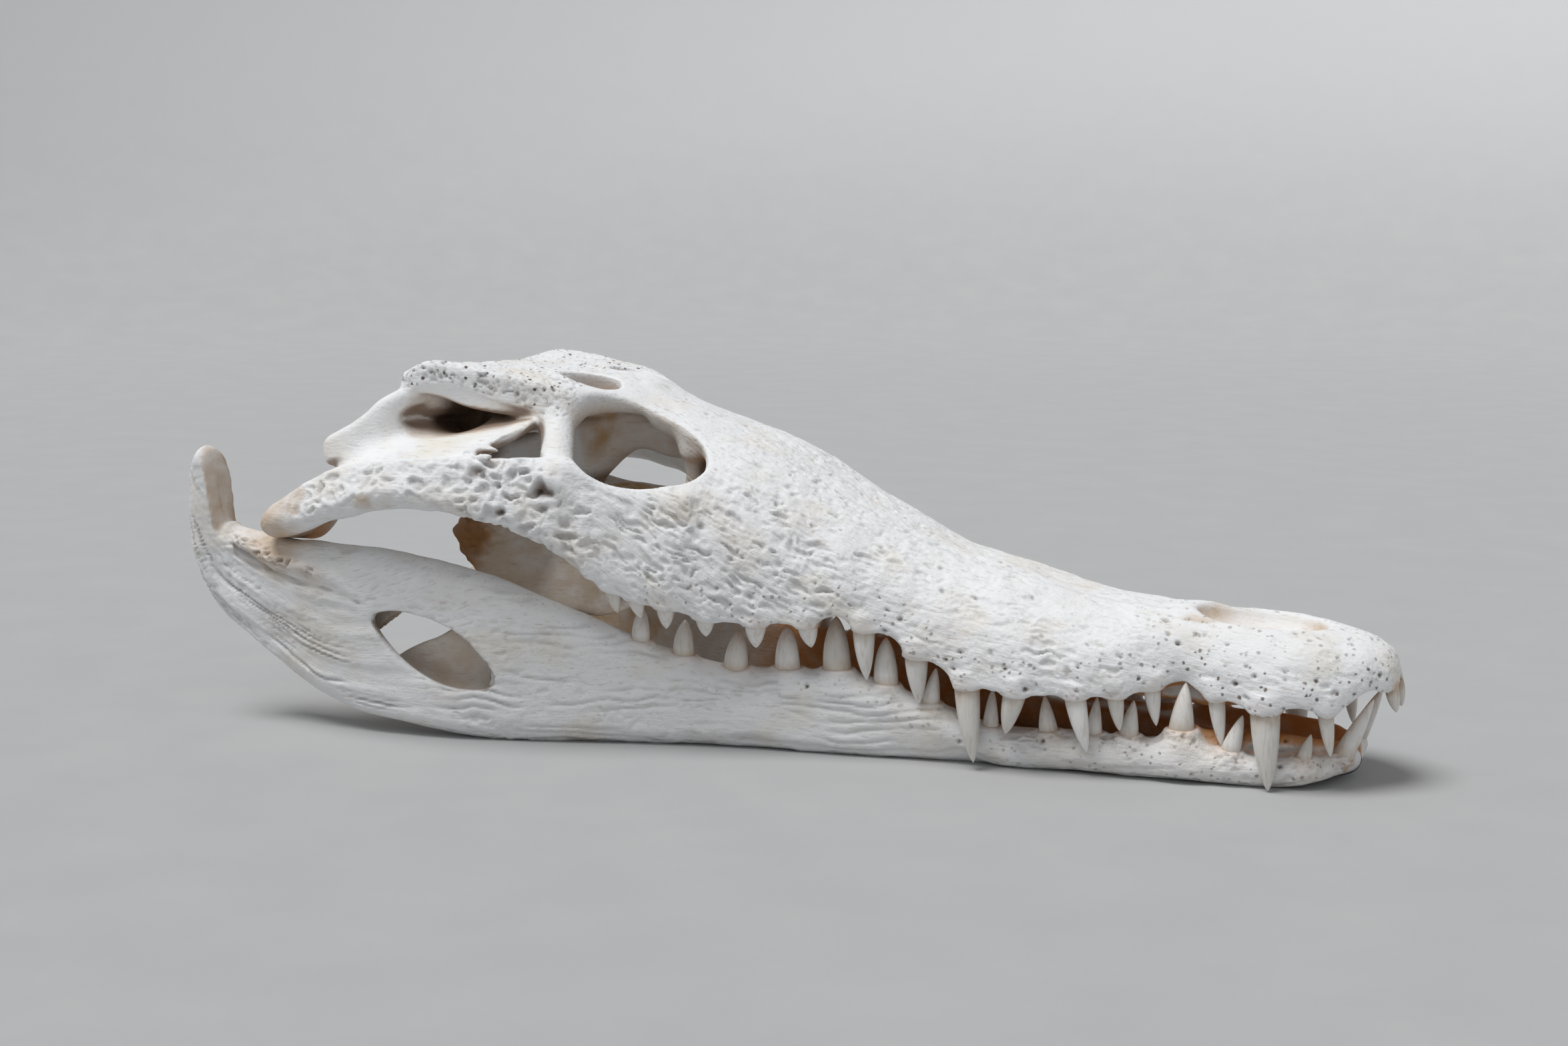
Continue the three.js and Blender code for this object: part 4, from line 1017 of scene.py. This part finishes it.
# The teeth: hollow cones of dentine under thin enamel, each held in its socket by a root.
# One tooth is drawn as a nodes tree and set on every root with its own girth, length, lean and turn.
TOOTH_ROOT = {True: 0.32, False: 0.16}  # share of the length that is sunk in the socket
BLUNT_FROM = 70.0  # the lower teeth behind this are blunt
TOOTH_SIDES = 28
TOOTH_RINGS = 30
TOOTH_BEND, TOOTH_FLATNESS = 0.55, 0.88  # inward bow in radii, and thickness across the jaw
TOOTH_SHOULDER = 0.72  # under 1 keeps a tooth full to near its tip
TOOTH_TIP = 0.02  # the tip's share of the girth


def tooth_row(name, roots, downwards, pointed):
    """The teeth on both sides of one jaw as one object."""
    random = np.random.default_rng(7 if downwards else 8)
    spots, turns, sizes, tints = [], [], [], []
    for side in (-1, 1):
        for x, out, z, length, radius, lean, splay in roots:
            up = -1.0 if downwards else 1.0
            if side > 0:
                lean = lean + random.uniform(-3, 3)
                length = length * random.uniform(0.92, 1.05)
            forward, sideways = math.tan(math.radians(lean)), math.tan(math.radians(splay))
            axis = Vector((forward, side * sideways, up)).normalized()
            outwards = Vector((0, side, 0))
            outwards = (outwards - axis * outwards.dot(axis)).normalized()
            turn = Matrix((outwards.cross(axis), outwards, axis)).transposed()
            spots.append((x / 1000, side * out / 1000, z / 1000))
            turns.append(turn.to_euler())
            sizes.append((radius / 1000, radius / 1000, length / 1000))
            tints.append(random.uniform(0, 1))
    seats = bpy.data.meshes.new(name + "_seats")
    seats.from_pydata(spots, [], [])
    for key, values in (("turn", turns), ("size", sizes)):
        seats.attributes.new(key, "FLOAT_VECTOR", "POINT").data.foreach_set("vector", np.ravel(values))
    seats.attributes.new("tint", "FLOAT", "POINT").data.foreach_set("value", tints)
    holder = put(name + "_seats", seats)
    growth = holder.modifiers.new("growth", "NODES")
    growth.node_group = tooth_tree
    growth[tooth_inputs["Root"]] = TOOTH_ROOT[downwards]
    growth[tooth_inputs["Bend"]] = TOOTH_BEND
    growth[tooth_inputs["Flat"]] = TOOTH_FLATNESS
    growth[tooth_inputs["Cone"]] = pointed
    graph = bpy.context.evaluated_depsgraph_get()
    mesh = bpy.data.meshes.new_from_object(holder.evaluated_get(graph), depsgraph=graph)
    holder.modifiers.remove(growth)
    bpy.data.objects.remove(holder)
    mesh.name = name
    mesh.polygons.foreach_set("use_smooth", np.ones(len(mesh.polygons), bool))
    made = put(name, mesh)
    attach(made, "root")


# Enamel on dentine: smooth and half glossy, ivory grey with fine lengthwise lines, stained tan at the gum.
ENAMEL_WHITE, ENAMEL_GREY, LINE_GREY, GUM_TAN = "#EEEDEB", "#DAD6CF", "#BDB09C", "#B39873"
enamel = bpy.data.materials.new("tooth_enamel")
enamel.use_nodes = True
tree = enamel.node_tree
place = add(tree, "ShaderNodeTexCoord").outputs["Object"]
rise = add(tree, "ShaderNodeAttribute", attribute_name="rise").outputs["Fac"]
tint = add(tree, "ShaderNodeAttribute", attribute_name="tint").outputs["Fac"]
tall = add(tree, "ShaderNodeMapping", {"Scale": (1.0, 1.0, 0.12)}, {"Vector": place}).outputs["Vector"]
lines = speckle(tree, tall, 0.0014, 4.0)
smudge = speckle(tree, place, 0.006, 4.0)
tone = tinted(tree, ENAMEL_WHITE, ENAMEL_GREY, tint)
tone = tinted(tree, tone, LINE_GREY, ranged(tree, lines, 0.5, 0.74, most=0.55))
gum = maths(tree, "SUBTRACT", rise, maths(tree, "MULTIPLY", smudge, 0.35))
tone = tinted(tree, tone, GUM_TAN, ranged(tree, gum, 0.12, -0.2, most=0.7))
dents = add(tree, "ShaderNodeBump", {"Strength": 0.2, "Distance": 0.0003}, {"Height": lines})
gloss = ranged(tree, smudge, 0.0, 1.0, 0.28, 0.5)
surfaced(tree, tone, gloss, dents, 1.6)

tooth_tree = bpy.data.node_groups.new("tooth_row", "GeometryNodeTree")
face = tooth_tree.interface
face.new_socket("Geometry", in_out="INPUT", socket_type="NodeSocketGeometry")
tooth_inputs = {}
for key in ("Root", "Bend", "Flat", "Cone"):
    tooth_inputs[key] = face.new_socket(key, in_out="INPUT", socket_type="NodeSocketFloat").identifier
face.new_socket("Geometry", in_out="OUTPUT", socket_type="NodeSocketGeometry")
tree = tooth_tree
inlet = add(tree, "NodeGroupInput").outputs
cone = add(tree, "GeometryNodeMeshCylinder", {
    "Vertices": TOOTH_SIDES, "Side Segments": TOOTH_RINGS, "Fill Segments": 2, "Radius": 1.0, "Depth": 1.0,
}, fill_type="TRIANGLE_FAN")
at = add(tree, "ShaderNodeSeparateXYZ", None, {0: add(tree, "GeometryNodeInputPosition").outputs[0]}).outputs
below = maths(tree, "SUBTRACT", 0.0, inlet["Root"])
t = add(tree, "ShaderNodeMapRange", {"From Min": -0.5, "From Max": 0.5, "To Max": 1.0},
        {"Value": at["Z"], "To Min": below}).outputs["Result"]
clear = maths(tree, "MAXIMUM", t, 0.0)
taper = maths(tree, "SUBTRACT", 1.0, maths(tree, "POWER", clear, inlet["Cone"]))
taper = maths(tree, "MAXIMUM", maths(tree, "POWER", taper, TOOTH_SHOULDER), TOOTH_TIP)
bow = maths(tree, "MULTIPLY", maths(tree, "MULTIPLY", clear, clear), inlet["Bend"])
wide = maths(tree, "MULTIPLY", at["X"], taper)
thick = maths(tree, "MULTIPLY", maths(tree, "MULTIPLY", at["Y"], taper), inlet["Flat"])
thick = maths(tree, "SUBTRACT", thick, bow)
spot = add(tree, "ShaderNodeCombineXYZ", None, {"X": wide, "Y": thick, "Z": t})
marked = add(tree, "GeometryNodeStoreNamedAttribute", {"Name": "rise"},
             {"Geometry": cone.outputs["Mesh"], "Value": t}, data_type="FLOAT", domain="POINT")
shaped = add(tree, "GeometryNodeSetPosition", None,
             {"Geometry": marked.outputs["Geometry"], "Position": spot.outputs["Vector"]})
turn = add(tree, "GeometryNodeInputNamedAttribute", {"Name": "turn"}, data_type="FLOAT_VECTOR")
turn = add(tree, "FunctionNodeEulerToRotation", None, {"Euler": turn.outputs["Attribute"]})
size = add(tree, "GeometryNodeInputNamedAttribute", {"Name": "size"}, data_type="FLOAT_VECTOR")
planted = add(tree, "GeometryNodeInstanceOnPoints", None, {
    "Points": inlet["Geometry"], "Instance": shaped.outputs["Geometry"],
    "Rotation": turn.outputs["Rotation"], "Scale": size.outputs["Attribute"]})
whole = add(tree, "GeometryNodeRealizeInstances", None, {"Geometry": planted.outputs["Instances"]})
dressed = add(tree, "GeometryNodeSetMaterial", {"Material": enamel}, {"Geometry": whole.outputs["Geometry"]})
add(tree, "NodeGroupOutput", None, {"Geometry": dressed.outputs["Geometry"]})

tooth_row("upper_teeth", upper_roots, True, 2.0)
tooth_row("lower_front_teeth", [root for root in lower_roots if root[0] > BLUNT_FROM], False, 1.5)
tooth_row("lower_back_teeth", [root for root in lower_roots if root[0] < BLUNT_FROM], False, 2.5)

# The stage: a plain pale floor that curves up into a low wall all round, like a studio's paper sweep.
# Soft light comes from above and from the front, and the camera looks from the skull's right.
FLOOR_RADIUS, COVE_RADIUS, WALL_TOP = 2.4, 1.0, 1.6
FLOOR_GREY, FLECK_GREY, WALL_GREY, ROOM_WHITE = "#A9AAAB", "#B3B3B2", "#E2E3E3", "#E6E9EE"
ROOM_GLOW = 0.34
ROUND = 96
profile = [(0.6 * k, 0.0) for k in range(1, 5)]
for k in range(1, 13):
    turn = math.radians(90 * k / 12)
    profile.append((FLOOR_RADIUS + COVE_RADIUS * math.sin(turn), COVE_RADIUS * (1 - math.cos(turn))))
profile.append((FLOOR_RADIUS + COVE_RADIUS, WALL_TOP))
spots = [(0.0, 0.0, 0.0)]
for reach, up in profile:
    spots += [(reach * math.cos(2 * math.pi * k / ROUND), reach * math.sin(2 * math.pi * k / ROUND), up)
              for k in range(ROUND)]
tiles = [(0, 1 + k, 1 + (k + 1) % ROUND) for k in range(ROUND)]
for level in range(len(profile) - 1):
    first = 1 + level * ROUND
    for k in range(ROUND):
        ahead = (k + 1) % ROUND
        tiles.append((first + k, first + ROUND + k, first + ROUND + ahead, first + ahead))
floor_mesh = bpy.data.meshes.new("floor")
floor_mesh.from_pydata(spots, [], tiles)
floor_mesh.polygons.foreach_set("use_smooth", np.ones(len(floor_mesh.polygons), bool))
paint = bpy.data.materials.new("matt_floor_paint")
paint.use_nodes = True
tree = paint.node_tree
place = add(tree, "ShaderNodeTexCoord").outputs["Object"]
flecks = speckle(tree, place, 0.05, 5.0)
tone = tinted(tree, FLOOR_GREY, FLECK_GREY, flecks)
height = add(tree, "ShaderNodeSeparateXYZ", None, {0: place}).outputs["Z"]
paler = add(tree, "ShaderNodeMapRange", {"From Max": 0.8, "To Max": 1.0}, {"Value": height},
            interpolation_type="SMOOTHSTEP")
tone = tinted(tree, tone, WALL_GREY, paler.outputs["Result"])
tree.links.new(tone, tree.nodes["Principled BSDF"].inputs["Base Color"])
tree.nodes["Principled BSDF"].inputs["Roughness"].default_value = 0.8
floor_mesh.materials.append(paint)
floor = put("floor", floor_mesh)

world = bpy.data.worlds.new("soft_room")
world.use_nodes = True
world.node_tree.nodes["Background"].inputs["Color"].default_value = colour(ROOM_WHITE)
world.node_tree.nodes["Background"].inputs["Strength"].default_value = ROOM_GLOW
bpy.context.scene.world = world


def soft_light(name, turn, strength, spread):
    """A wide soft light like a big bright window, turned by degrees from straight down."""
    lamp = bpy.data.lights.new(name, "SUN")
    lamp.energy = strength
    lamp.angle = math.radians(spread)
    put(name, lamp).rotation_euler = [math.radians(angle) for angle in turn]


soft_light("top_light", (13, -16, 0), 2.45, 30)
soft_light("front_light", (62, 0, 20), 0.28, 60)

# The camera stands where the photo was taken, about 1 m from the skull.
LENS, SENSOR = 52.88, 36.0
EYE = (0.3944, -0.9481, 0.246)
LOOK = (-0.38644, 0.91040, -0.14781)
camera_data = bpy.data.cameras.new("camera")
camera_data.lens = LENS
camera_data.sensor_width = SENSOR
camera_data.sensor_fit = "HORIZONTAL"
camera_data.clip_start = 0.02
camera = put("camera", camera_data)
camera.location = EYE
camera.rotation_euler = Vector(LOOK).to_track_quat("-Z", "Y").to_euler()
bpy.context.scene.camera = camera
bpy.context.scene.view_settings.view_transform = "Standard"
